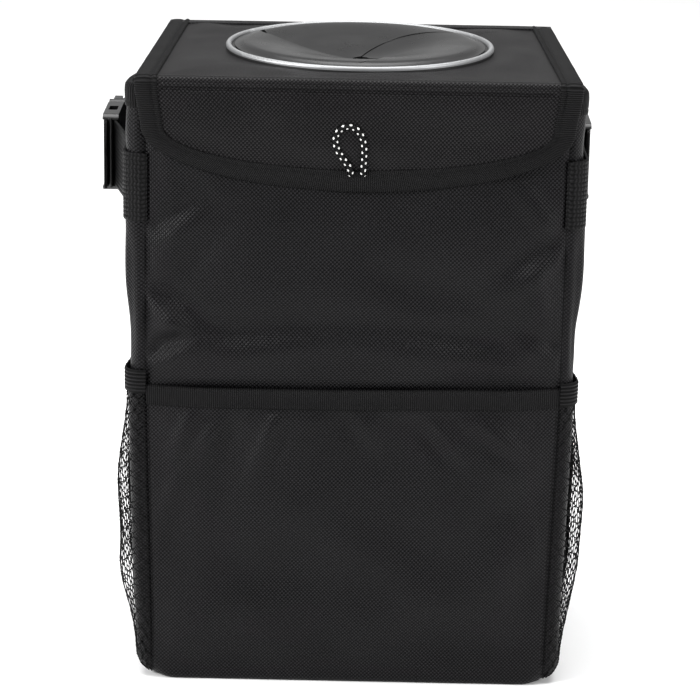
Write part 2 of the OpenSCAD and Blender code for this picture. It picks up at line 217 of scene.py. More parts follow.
@dataclass(frozen=True)
class Relief:
    """A height field over a sheet of cloth."""

    heights: Array
    width: float
    tall: float

    def at(self, u: Array, v: Array) -> Array:
        """Reads the heights between the field's points.

        Args:
            u: Distance from the sheet's middle, in metres.
            v: Height over the sheet's foot, in metres.

        Returns:
            The heights, in metres.
        """
        rows, columns = self.heights.shape
        c = np.clip((u / self.width + 0.5) * (columns - 1), 0, columns - 1.001)
        r = np.clip(v / self.tall * (rows - 1), 0, rows - 1.001)
        c, r = np.broadcast_arrays(c, r)
        i, j = r.astype(int), c.astype(int)
        a, b = r - i, c - j
        f = self.heights
        return ((f[i, j] * (1 - b) + f[i, j + 1] * b) * (1 - a)
                + (f[i + 1, j] * (1 - b) + f[i + 1, j + 1] * b) * a)


@dataclass(frozen=True)
class SlackCloth:
    """A sheet of slightly too much cloth, which a cloth simulation settles between its seams."""

    width: float
    tall: float
    slack: float = 0.015
    stiff: float = 4.0
    push: float = 0.25
    seed: int = 3
    step: float = 3.4 * MM
    frames: int = 22
    cap: float = 2.6 * MM

    def sheet(self) -> tuple[Piece, int, int]:
        """Makes the flat sheet, its sewn border and the spread of its slack.

        Returns:
            The sheet, and its numbers of rows and columns.
        """
        columns, rows = int(self.width / self.step) + 1, int(self.tall / self.step) + 1
        half = self.width / 2
        x, z = np.meshgrid(np.linspace(-half, half, columns), np.linspace(0, self.tall, rows))
        start = 0.3 * MM * ripple(x, z, 0.06, self.seed)
        piece = Builder().grid(joined(x, -start, z), joined(x, z)).make("slack_sheet")
        ids = np.arange(rows * columns).reshape(rows, columns)
        border = np.ones((rows, columns), bool)
        border[1:-1, 1:-1] = False
        piece.vertex_groups.new(name="sewn").add(ids[border].tolist(), 1.0, "REPLACE")
        loose = piece.vertex_groups.new(name="slack")
        share = np.clip(0.5 + 0.5 * ripple(x, z, 0.11, self.seed + 1), 0, 1)
        for index, weight in enumerate(share.flat):
            loose.add([index], float(weight), "REPLACE")
        return piece, rows, columns

    def settle(self) -> Relief:
        """Returns:
            How far the cloth then stands out.
        """
        piece, rows, columns = self.sheet()
        cloth = piece.modifiers.new("settle", "CLOTH")
        s = cloth.settings
        s.quality, s.mass, s.air_damping = 5, 0.15, 3
        s.tension_stiffness = s.compression_stiffness = 20
        s.shear_stiffness, s.bending_stiffness, s.pin_stiffness = 8, self.stiff, 20
        s.vertex_group_mass, s.vertex_group_shrink = "sewn", "slack"
        s.shrink_min, s.shrink_max = -0.3 * self.slack, -self.slack
        s.use_pressure, s.uniform_pressure_force = True, self.push
        s.effector_weights.gravity = 0
        cloth.collision_settings.use_collision = False
        cloth.point_cache.frame_end = self.frames
        for frame_at in range(1, self.frames + 1):
            bpy.context.scene.frame_set(frame_at)
        settled = piece.evaluated_get(bpy.context.evaluated_depsgraph_get()).data
        flat = np.empty(len(settled.vertices) * 3, np.float32)
        settled.vertices.foreach_get("co", flat)
        out = -flat.reshape(rows, columns, 3)[..., 1].astype(float)
        bpy.context.scene.frame_set(1)
        bpy.data.objects.remove(piece)
        for axis in (0, 1, 0, 1):
            out = (np.roll(out, 1, axis) + 2 * out + np.roll(out, -1, axis)) / 4
        out[0] = out[-1] = out[:, 0] = out[:, -1] = 0
        LOG.info("slack cloth %.0f x %.0f mm settled to %.1f mm", self.width / MM,
                 self.tall / MM, float(np.abs(out).max()) / MM)
        return Relief(self.cap * np.tanh(out / self.cap), self.width, self.tall)


# Meshes


class Builder:
    """Collects grids and tubes for one piece, and makes its mesh object."""

    def __init__(self) -> None:
        """Starts with nothing in it."""
        self.points: list[Array] = []
        self.faces: list[Array] = []
        self.maps: list[Array] = []
        self.count = 0

    def grid(self, points: Array, uv: Array, around: bool = False,
             flip: bool = False) -> "Builder":
        """Adds a grid of four-sided faces.

        Args:
            points: Points by row and column, shape (rows, columns, 3).
            uv: The cloth map by row and column, shape (rows, columns, 2).
            around: Whether the last column joins the first, which has the same points.
            flip: Whether the faces look the other way.

        Returns:
            This builder.
        """
        rows, columns = points.shape[:2]
        ids = np.arange(rows * columns).reshape(rows, columns)
        target = ids.copy()
        if around:
            target[:, -1] = target[:, 0]
        a, b, c, d = ids[:-1, :-1], ids[:-1, 1:], ids[1:, 1:], ids[1:, :-1]
        corners = [a, b, c, d] if not flip else [a, d, c, b]
        flat = np.stack([k.ravel() for k in corners], 1)
        self.maps.append(uv.reshape(-1, 2)[flat].reshape(-1, 2))
        self.faces.append(target.ravel()[flat] + self.count)
        self.points.append(points.reshape(-1, 3))
        self.count += rows * columns
        return self

    def tube(self, points: Array, uv: Array, ends: Array, flip: bool = False) -> "Builder":
        """Adds a closed tube with a flat cap at each end.

        Args:
            points: The rings' points, shape (rings, points, 3), the first again as the last.
            uv: The cloth map by ring and point.
            ends: The middles of the first and the last cap.
            flip: Whether the faces look the other way.

        Returns:
            This builder.
        """
        self.grid(points, uv, around=True, flip=flip)
        for row, middle, turned_in in ((0, ends[0], not flip), (-1, ends[1], flip)):
            cap = np.stack([points[row], np.broadcast_to(middle, points[row].shape)])
            self.grid(cap, np.stack([uv[row], uv[row]]), flip=turned_in)
        return self

    def solids(self, points: Array, faces: Array) -> "Builder":
        """Adds copies of one small closed shape.

        Args:
            points: Each copy's points, shape (copies, points, 3).
            faces: The four-sided faces of one copy, shape (faces, 4).

        Returns:
            This builder.
        """
        copies, each = points.shape[:2]
        every = faces[None] + (np.arange(copies) * each)[:, None, None]
        self.faces.append(every.reshape(-1, 4) + self.count)
        self.maps.append(np.zeros((copies * len(faces) * 4, 2)))
        self.points.append(points.reshape(-1, 3))
        self.count += copies * each
        return self

    def make(self, name: str, weld: bool = False, sharp: float = 0.0) -> Piece:
        """Makes the mesh object.

        Args:
            name: The piece's name.
            weld: Whether points that coincide become one.
            sharp: The angle in degrees above which an edge stays sharp, or 0 for none.

        Returns:
            The object, linked to the scene.
        """
        mesh = bpy.data.meshes.new(name)
        faces = np.concatenate(self.faces)
        mesh.from_pydata(np.concatenate(self.points).tolist(), [], faces.tolist())
        layer = mesh.uv_layers.new(name=CLOTH_MAP)
        layer.data.foreach_set("uv", np.concatenate(self.maps).astype(np.float32).ravel())
        piece = bpy.data.objects.new(name, mesh)
        bpy.context.scene.collection.objects.link(piece)
        tidy_mesh(mesh, weld)
        mesh.shade_smooth()
        if sharp:
            mesh.set_sharp_from_angle(angle=math.radians(sharp))
        return piece


def tidy_mesh(mesh: bpy.types.Mesh, weld: bool) -> None:
    """Drops unused points and faces without area, and welds points where asked.

    Args:
        mesh: The mesh, changed in place.
        weld: Whether points that coincide become one.
    """
    work = bmesh.new()
    work.from_mesh(mesh)
    if weld:
        bmesh.ops.remove_doubles(work, verts=work.verts, dist=2e-6)
    bmesh.ops.dissolve_degenerate(work, edges=work.edges, dist=1e-8)
    loose = [v for v in work.verts if not v.link_faces]
    bmesh.ops.delete(work, geom=loose, context="VERTS")
    work.to_mesh(mesh)
    work.free()


def apply_modifiers(piece: Piece) -> None:
    """Applies every modifier of a piece to its mesh.

    Args:
        piece: The piece, which gets a new mesh.
    """
    bpy.context.view_layer.update()
    graph = bpy.context.evaluated_depsgraph_get()
    mesh = bpy.data.meshes.new_from_object(piece.evaluated_get(graph))
    piece.modifiers.clear()
    piece.data = mesh
    mesh.shade_smooth()


def sweep(centres: Array, across: Array, outward: Array,
          section: Array) -> tuple[Array, Array]:
    """Carries a section along a line.

    Args:
        centres: The line's points, shape (n, 3).
        across: The direction of the section's first axis at each point.
        outward: The direction of the section's second axis at each point.
        section: The section's points, shape (m, 2) or (n, m, 2).

    Returns:
        The points, shape (n, m, 3), and their cloth map.
    """
    if section.ndim == 2:
        section = np.broadcast_to(section, (len(centres),) + section.shape)
    points = (centres[:, None] + section[..., :1] * across[:, None]
              + section[..., 1:] * outward[:, None])
    run = lengths(centres)
    over = lengths(section[0])
    uv = np.stack(np.meshgrid(run, over, indexing="ij"), -1)
    return points, uv


def turned(points: Array) -> Array:
    """Returns the direction of a line at each of its points."""
    return unit(np.gradient(points, axis=0))


class Body(Enum):
    """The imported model's moving bodies."""

    BIN = "bin"
    STRAP = "strap"
    LID = "lid"
    FLAP = "flap"


def finish_piece(piece: Piece, material: Material, body: Body | None,
                 replaced: tuple[str, ...] = ()) -> None:
    """Gives a new piece its material, slot and body, and hides the solids that it stands for.

    Args:
        piece: The new piece.
        material: Its material.
        body: The body that it rides on, or None where it spans two.
        replaced: The solids that it stands for.
    """
    piece.data.materials.append(material)
    if body:
        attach(piece, body.value)
    if replaced:
        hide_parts(*replaced)
    on = body.value if body else "two bodies"
    LOG.info("%s: %d faces, on %s", piece.name, len(piece.data.polygons), on)


# Shader maths


def operator(operation: str) -> Callable[..., "Val"]:
    """Makes the method that adds one Math node, whose first input is the value itself.

    Args:
        operation: The Math node's operation.

    Returns:
        The method.
    """
    def method(value: "Val", *others: "Val | float") -> "Val":
        """Adds the node, and returns its result."""
        return value.math(operation, value, *others)
    return method


class Val:
    """A number in a shader, which the usual operators combine."""

    def __init__(self, tree: bpy.types.NodeTree, socket: bpy.types.NodeSocket) -> None:
        """Wraps a socket.

        Args:
            tree: The tree that the socket is in.
            socket: The output socket.
        """
        self.tree = tree
        self.socket = socket

    def math(self, operation: str, *values: "Val | float") -> "Val":
        """Adds a Math node on these values.

        Args:
            operation: The Math node's operation.
            values: Its inputs in order.

        Returns:
            Its result.
        """
        node = self.tree.nodes.new("ShaderNodeMath")
        node.operation = operation
        for slot, value in zip(node.inputs, values):
            if isinstance(value, Val):
                self.tree.links.new(value.socket, slot)
            else:
                slot.default_value = value
        return Val(self.tree, node.outputs[0])

    __add__ = __radd__ = operator("ADD")
    __mul__ = __rmul__ = operator("MULTIPLY")
    __sub__ = operator("SUBTRACT")
    __truediv__ = operator("DIVIDE")
    __pow__ = operator("POWER")
    __abs__ = operator("ABSOLUTE")
    sin = operator("SINE")
    fract = operator("FRACT")
    floor = operator("FLOOR")

    def __rsub__(self, other: float) -> "Val":
        """Is taken away from a number."""
        return self.math("SUBTRACT", other, self)

    def wave(self, length: float, shift: float = 0.0) -> "Val":
        """Returns a wave from 0 to 1 of that length, in the value's own unit."""
        return (self * (TURN / length) + shift).sin() * 0.5 + 0.5


class Shader:
    """A material under construction, with one Principled shader."""

    def __init__(self, name: str) -> None:
        """Starts a material.

        Args:
            name: The material's name.
        """
        self.material = bpy.data.materials.new(name)
        self.material.use_nodes = True
        self.tree = self.material.node_tree
        self.base = next(n for n in self.tree.nodes if n.type == "BSDF_PRINCIPLED")

    def node(self, kind: str, settings: dict[str, object] | None = None,
             **inputs: object) -> bpy.types.Node:
        """Adds any other node.

        Args:
            kind: The node's type.
            settings: Its own settings, set first.
            inputs: Values or links for its sockets, by name with _ for a space.

        Returns:
            The node.
        """
        made = self.tree.nodes.new(kind)
        for key, value in (settings or {}).items():
            setattr(made, key, value)
        for key, value in inputs.items():
            self.feed(made, key.replace("_", " "), value)
        return made

    def feed(self, node: bpy.types.Node, socket: str, value: object) -> None:
        """Sets or links one of a node's inputs.

        Args:
            node: The node.
            socket: The input's name.
            value: What it gets: a Val or a socket to link, or else its own value.
        """
        slots = [s for s in node.inputs if s.name == socket and s.enabled]
        if isinstance(value, Val):
            self.tree.links.new(value.socket, slots[0])
        elif isinstance(value, bpy.types.NodeSocket):
            self.tree.links.new(value, slots[0])
        else:
            slots[0].default_value = value

    def cloth(self) -> tuple[Val, Val]:
        """Reads the cloth map.

        Returns:
            Its two coordinates, in metres.
        """
        mapped = self.node("ShaderNodeUVMap", {"uv_map": CLOTH_MAP})
        split = self.node("ShaderNodeSeparateXYZ", Vector=mapped.outputs["UV"])
        return Val(self.tree, split.outputs[0]), Val(self.tree, split.outputs[1])

    def noise(self, size: float, detail: float = 2.0, mapped: bool = True) -> Val:
        """Returns noise of about 0 to 1.

        Args:
            size: The usual size of a patch, in metres.
            detail: How fine it gets.
            mapped: Whether it lies in the cloth map, or else in the object's space.

        Returns:
            The noise.
        """
        if mapped:
            vector = self.node("ShaderNodeUVMap", {"uv_map": CLOTH_MAP}).outputs["UV"]
        else:
            vector = self.node("ShaderNodeTexCoord").outputs["Object"]
        made = self.node("ShaderNodeTexNoise", Vector=vector, Scale=1 / size, Detail=detail)
        return Val(self.tree, made.outputs[0])

    def mix(self, share: Val, low: Colour, high: Colour) -> bpy.types.NodeSocket:
        """Mixes two colours.

        Args:
            share: The second colour's share.
            low: The first colour.
            high: The second colour.

        Returns:
            The mixed colour's socket.
        """
        made = self.node("ShaderNodeMix", {"data_type": "RGBA"}, Factor=share)
        slots = [s for s in made.inputs if s.enabled and s.name in "AB"]
        slots[0].default_value = (*low, 1)
        slots[1].default_value = (*high, 1)
        return next(s for s in made.outputs if s.enabled)

    def step(self, value: Val, low: float, high: float) -> Val:
        """Eases a value, as smooth does.

        Args:
            value: The value.
            low: Where the result is 0.
            high: Where the result is 1.

        Returns:
            The eased value.
        """
        made = self.node("ShaderNodeMapRange", {"interpolation_type": "SMOOTHSTEP"},
                         Value=value, From_Min=low, From_Max=high)
        return Val(self.tree, made.outputs[0])

    def relief(self, height: Val, depth: float, strength: float = 1.0) -> None:
        """Feeds the surface's relief.

        Args:
            height: The height, from 0 to 1.
            depth: What 1 stands for, in metres.
            strength: The share of the relief that shows.
        """
        made = self.node("ShaderNodeBump", Height=height, Strength=strength, Distance=depth)
        self.feed(self.base, "Normal", made.outputs[0])

    def done(self, **inputs: object) -> Material:
        """Sets or links the Principled shader's inputs.

        Args:
            inputs: Values or links for its sockets, by name with _ for a space.

        Returns:
            The material.
        """
        for key, value in inputs.items():
            self.feed(self.base, key.replace("_", " "), value)
        return self.material


def shade(colour: Colour, share: float) -> Colour:
    """Returns a colour made lighter or darker."""
    return tuple(share * part for part in colour)


@dataclass(frozen=True)
class Weave:
    """Coated plain-woven cloth: rows of raised dots, set between each other, with painted highlights on the
    dots and painted shade in the gaps.
    """

    name: str = "coated_weave"
    # gap is painted shade between the dots; dot is the dots' colour with a painted highlight.
    gap: Colour = (0.0008, 0.0008, 0.001)
    dot: Colour = (0.0172, 0.0163, 0.0178)
    pitch: float = 2.2 * MM
    depth: float = 0.26 * MM
    rough: float = 0.4

    def material(self) -> Material:
        """Builds the material's nodes.

        Returns:
            The material.
        """
        s = Shader(self.name)
        u, v = s.cloth()
        turn = TURN / self.pitch
        uneven = s.noise(0.9 * MM, 1.0)
        dots = ((u * turn).sin() * (v * turn).sin()) * 0.5 + 0.5
        patch = s.noise(45 * MM, 3.0)
        # The dots' height sets the colour: painted highlight on the raised dots, painted shade between
        # them; patch adds random tone.
        share = s.step(dots + (uneven - 0.5) * 0.5, 0.35, 0.95) * (patch * 0.7 + 0.62)
        s.relief(dots + (uneven - 0.5) * 0.35, self.depth)
        return s.done(
            Base_Color=s.mix(share, self.gap, self.dot),
            Roughness=self.rough + 0.12 * patch - 0.12 * dots,
            Specular_IOR_Level=0.1,
        )


@dataclass(frozen=True)
class Ribbed:
    """Ribbed tape or elastic: fine ribs across its run, or cords along it, with painted highlights on the
    ribs and painted shade between them.
    """

    name: str
    # low is painted shade between the ribs; high is the ribs' colour with a painted highlight.
    low: Colour = (0.0004, 0.0004, 0.0005)
    high: Colour = (0.0105, 0.0101, 0.0108)
    pitch: float = 1.15 * MM
    along: bool = False
    cross: float = 0.55 * MM
    depth: float = 0.42 * MM

    def material(self) -> Material:
        """Builds the material's nodes.

        Returns:
            The material.
        """
        s = Shader(self.name)
        u, v = s.cloth()
        if self.along:
            u, v = v, u
        uneven = s.noise(1.6 * MM, 2.0)
        ribs = (u + (uneven - 0.5) * (0.25 * MM)).wave(self.pitch)
        threads = v.wave(self.cross)
        height = ribs * (0.82 + 0.18 * threads)
        worn = s.noise(9 * MM, 3.0)
        # The ribs' height sets the colour: painted highlight on the crests, painted shade in the grooves;
        # worn adds random wear.
        share = s.step(height, 0.25, 1.0) * (0.55 + 0.8 * worn)
        s.relief(height, self.depth)
        return s.done(
            Base_Color=s.mix(share, self.low, self.high),
            Roughness=0.66 - 0.18 * ribs, Specular_IOR_Level=0.1,
        )


@dataclass(frozen=True)
class Webbed:
    """Woven webbing: columns of slanting floats, set between each other, with painted highlights on the
    floats and painted shade between them.
    """

    name: str = "webbing"
    # low is painted shade between the floats; high is the floats' colour with a painted highlight.
    low: Colour = (0.0008, 0.0008, 0.0009)
    high: Colour = (0.0088, 0.0085, 0.009)
    column: float = 2.4 * MM
    float_l: float = 2.1 * MM

    def material(self) -> Material:
        """Builds the material's nodes.

        Returns:
            The material.
        """
        s = Shader(self.name)
        u, v = s.cloth()
        place = v / self.column
        odd = (place.floor() * 0.5).fract() * 2
        dome = (place.fract() * math.pi).sin()
        slant = u / self.float_l + odd * 0.5 + place.fract() * (1 - 2 * odd) * 0.35
        floats = (slant * TURN).sin() * 0.5 + 0.5
        height = dome * (0.35 + 0.65 * floats)
        fuzz = s.noise(1.1 * MM, 2.0)
        s.relief(height + (fuzz - 0.5) * 0.3, 0.45 * MM)
        # The floats' height sets the colour: painted highlight on the raised floats, painted shade between
        # them; fuzz adds random tone.
        return s.done(
            Base_Color=s.mix(s.step(height, 0.15, 0.95) * (0.6 + 0.7 * fuzz), self.low, self.high),
            Roughness=0.6 - 0.14 * floats, Specular_IOR_Level=0.09,
        )


@dataclass(frozen=True)
class Braid:
    """Braided elastic cord with rows of white tracer dots."""

    name: str = "tracer_cord"
    around: float = 3.3 * math.pi * MM
    step: float = 3.8 * MM
    rows: int = 4
    dot: float = 0.72 * MM

    def material(self) -> Material:
        """Builds the material's nodes.

        Returns:
            The material.
        """
        s = Shader(self.name)
        u, v = s.cloth()
        wide = self.around / self.rows
        row = v / wide
        odd = (row.floor() * 0.5).fract()
        du = ((u / self.step + odd).fract() - 0.5) * self.step
        dv = (row.fract() - 0.5) * wide
        far = (du * du + dv * dv) ** 0.5
        white = 1 - s.step(far, 0.8 * self.dot, 1.1 * self.dot)
        strands = abs(((u / (1.3 * MM) + v / wide) * math.pi).sin()) * abs(
            ((u / (1.3 * MM) - v / wide) * math.pi).sin())
        s.relief(strands + white * 0.6, 0.3 * MM)
        # The cord's black is its own colour, darkened further as painted shade for the loop's shadowed
        # inside; the white tracer dots are real.
        return s.done(Base_Color=s.mix(white, (0.0018, 0.0018, 0.002), (0.82, 0.82, 0.8)),
                      Roughness=0.62 - 0.1 * strands, Specular_IOR_Level=0.12)


@dataclass(frozen=True)
class Moulded:
    """Moulded plastic or rubber with a fine grain."""

    name: str
    colour: Colour
    rough: float = 0.34
    grain: float = 0.7 * MM
    depth: float = 0.03 * MM
    coat: float = 0.0
    shine: float = 0.5

    def material(self) -> Material:
        """Builds the material's nodes.

        Returns:
            The material.
        """
        s = Shader(self.name)
        grain = s.noise(self.grain, 2.0, mapped=False)
        wear = s.noise(14 * MM, 4.0, mapped=False)
        s.relief(grain, self.depth)
        return s.done(Base_Color=s.mix(wear, shade(self.colour, 0.86), shade(self.colour, 1.16)),
                      Roughness=self.rough + 0.14 * wear - 0.05,
                      Specular_IOR_Level=self.shine, Coat_Weight=self.coat, Coat_Roughness=0.2)


@dataclass(frozen=True)
class Plated:
    """Satin silver plating."""

    name: str = "satin_silver"
    colour: Colour = (0.37, 0.375, 0.38)

    def material(self) -> Material:
        """Builds the material's nodes.

        Returns:
            The material.
        """
        s = Shader(self.name)
        worn = s.noise(6 * MM, 3.0, mapped=False)
        s.relief(s.noise(0.5 * MM, 1.0, mapped=False), 0.008 * MM)
        return s.done(Base_Color=s.mix(worn, shade(self.colour, 0.93), self.colour), Metallic=0.85,
                      Roughness=0.47 + 0.1 * worn)


@dataclass(frozen=True)
class Pile:
    """The pile of hook or loop tape, with painted highlights on the raised tufts and painted shade between
    them.
    """

    name: str = "pile"
    size: float = 0.9 * MM

    def material(self) -> Material:
        """Builds the material's nodes.

        Returns:
            The material.
        """
        s = Shader(self.name)
        tufts = s.noise(self.size, 3.0, mapped=False)
        s.relief(tufts, 0.7 * MM)
        # The tufts' height sets the colour: painted highlight on the raised tufts, painted shade between
        # them.
        return s.done(Base_Color=s.mix(s.step(tufts, 0.3, 0.8), (0.003, 0.003, 0.003),
                                       (0.03, 0.03, 0.031)),
                      Roughness=0.9 - 0.1 * tufts, Sheen_Weight=0.2)


@dataclass(frozen=True)
class Film:
    """Waterproof lining film, faintly creased, with painted shade in the crease hollows and painted
    highlights on the ridges.
    """

    name: str = "lining_film"
    colour: Colour = (0.075, 0.075, 0.08)

    def material(self) -> Material:
        """Builds the material's nodes.

        Returns:
            The material.
        """
        s = Shader(self.name)
        creased = s.noise(16 * MM, 4.0, mapped=False)
        fine = s.noise(1.2 * MM, 2.0, mapped=False)
        s.relief(creased + fine * 0.06, 1.2 * MM, 0.5)
        # The creases' height sets the colour: painted shade in the hollows, painted highlight on the
        # ridges.
        return s.done(Base_Color=s.mix(creased, shade(self.colour, 0.75), shade(self.colour, 1.25)),
                      Roughness=0.38 + 0.2 * creased)


class Recipe(Protocol):
    """What every finish class can do."""

    def material(self) -> Material:
        """Builds the material."""


def built(recipe: Recipe) -> Material:
    """Declares a field that holds the recipe's material."""
    return field(default_factory=recipe.material)


@dataclass
class Finishes:
    """Every material, built once."""

    weave: Material = built(Weave())
    # A lighter copy of the weave for the lid's cover: painted light where the lid faces the top light.
    lid_weave_painted_light: Material = built(Weave(
        "lid_weave_painted_light", (0.0011, 0.001, 0.0012), (0.0196, 0.0184, 0.0195)))
    tape: Material = built(Ribbed("ribbed_tape"))
    elastic: Material = built(Ribbed(
        "ribbed_elastic", pitch=2.1 * MM, along=True, cross=0.8 * MM, depth=0.5 * MM))
    thread: Material = built(Moulded(
        "net_thread", (0.0022, 0.0022, 0.0024), 0.6, 0.4 * MM, 0.08 * MM, shine=0.12))
    webbing: Material = built(Webbed())
    braid: Material = built(Braid())
    buckle: Material = built(Moulded(
        "gloss_plastic", (0.004, 0.004, 0.0043), 0.3, 0.9 * MM, 0.012 * MM, 0.1))
    frame: Material = built(Moulded("matt_plastic", (0.012, 0.012, 0.012), 0.45))
    rubber: Material = built(Moulded(
        "satin_rubber", (0.0075, 0.0075, 0.0078), 0.27, 0.5 * MM, 0.02 * MM))
    silver: Material = built(Plated())
    pile: Material = built(Pile())
    film: Material = built(Film())
    board: Material = built(Moulded("grey_board", (0.16, 0.16, 0.16), 0.7, 1.5 * MM, 0.1 * MM))


def dress(nodes: tuple[str, ...], material: Material,
          edge: float = 0.0) -> None:
    """Gives solids of the frame a better material, and rounds their edges where asked.

    Args:
        nodes: The solids' names.
        material: The material.
        edge: The radius of the rounded edges in metres, or 0 for none.
    """
    for name in nodes:
        solid = frame["nodes"][name]
        solid.data.materials.clear()
        solid.data.materials.append(material)
        if edge:
            bevel = solid.modifiers.new("rounded", "BEVEL")
            bevel.width, bevel.segments, bevel.harden_normals = edge, 3, True
            bevel.limit_method, bevel.angle_limit = "ANGLE", math.radians(BEVEL_ABOVE)
        LOG.info("%s: dressed in %s", name, material.name)


# The studio


@dataclass(frozen=True)
class Studio:
    """The camera at the photograph's viewing angle, a pale floor and soft light."""

    eye: Place = (0.00232, -1.55289, 0.6262)
    yaw: float = -0.171
    pitch: float = 16.311
    roll: float = 1.118
    focal_px: float = 2787.9
    image_px: int = 700
    sensor_mm: float = 36.0
    aim_at: Place = (0, 0, 0.2)
    softboxes: tuple[tuple[str, Place, float, float], ...] = (
        ("top_softbox", (0.0, 0.35, 2.7), 2.9, 118),
        ("left_softbox", (-1.8, -1.05, 1.35), 0.7, 56),
        ("back_softbox", (0.0, 2.6, 0.55), 1.0, 0.75),
        ("right_softbox", (2.0, -0.95, 1.1), 0.7, 32),
    )
    sky: float = 0.33
    floor_half: float = 8.0

    def camera(self) -> None:
        """Sets the camera."""
        data = bpy.data.cameras.new("camera")
        data.sensor_fit = "HORIZONTAL"
        data.sensor_width = self.sensor_mm
        data.lens = self.focal_px / self.image_px * self.sensor_mm
        data.clip_end = 50
        yaw, pitch, roll = (math.radians(a) for a in (self.yaw, self.pitch, self.roll))
        ahead = Vector((math.sin(yaw) * math.cos(pitch), math.cos(yaw) * math.cos(pitch),
                        -math.sin(pitch)))
        right = Vector((math.cos(yaw), -math.sin(yaw), 0))
        up = right.cross(ahead)
        level, upright = (math.cos(roll) * right + math.sin(roll) * up,
                          math.cos(roll) * up - math.sin(roll) * right)
        turn = Matrix((level, upright, -ahead)).transposed().to_4x4()
        camera = bpy.data.objects.new("camera", data)
        camera.matrix_world = Matrix.Translation(self.eye) @ turn
        bpy.context.scene.collection.objects.link(camera)
        bpy.context.scene.camera = camera

    def lamp(self, name: str, place: Place, size: float, watts: float) -> None:
        """Adds a square soft light aimed at the bin.

        Args:
            name: The light's name.
            place: Where it stands, in metres.
            size: Its side, in metres.
            watts: Its power.
        """
        data = bpy.data.lights.new(name, "AREA")
        data.size = size
        data.energy = watts
        lamp = bpy.data.objects.new(name, data)
        lamp.location = place
        aim = Vector(self.aim_at) - Vector(place)
        lamp.rotation_euler = aim.to_track_quat("-Z", "Y").to_euler()
        lamp.visible_camera = False
        bpy.context.scene.collection.objects.link(lamp)

    def light(self) -> None:
        """Adds the lights, the white surroundings and the floor."""
        for softbox in self.softboxes:
            self.lamp(*softbox)
        world = bpy.data.worlds.new("white_room")
        world.use_nodes = True
        sky = world.node_tree.nodes["Background"]
        sky.inputs[0].default_value = (1, 1, 1, 1)
        sky.inputs[1].default_value = self.sky
        bpy.context.scene.world = world
        bpy.context.scene.view_settings.view_transform = "Standard"
        side = np.linspace(-self.floor_half, self.floor_half, 9)
        plan = cloth_map(side, side)
        ground = Builder().grid(np.dstack([plan, np.zeros((9, 9))]), plan).make("floor")
        s = Shader("pale_floor")
        ground.data.materials.append(s.done(
            Base_Color=s.mix(s.noise(0.5), (0.90, 0.90, 0.90), (0.93, 0.93, 0.93)),
            Roughness=0.8))


# The bin's walls


class Wall(Enum):
    """The four walls, by the way they face."""

    FRONT = 0
    RIGHT = 1
    BACK = 2
    LEFT = 3


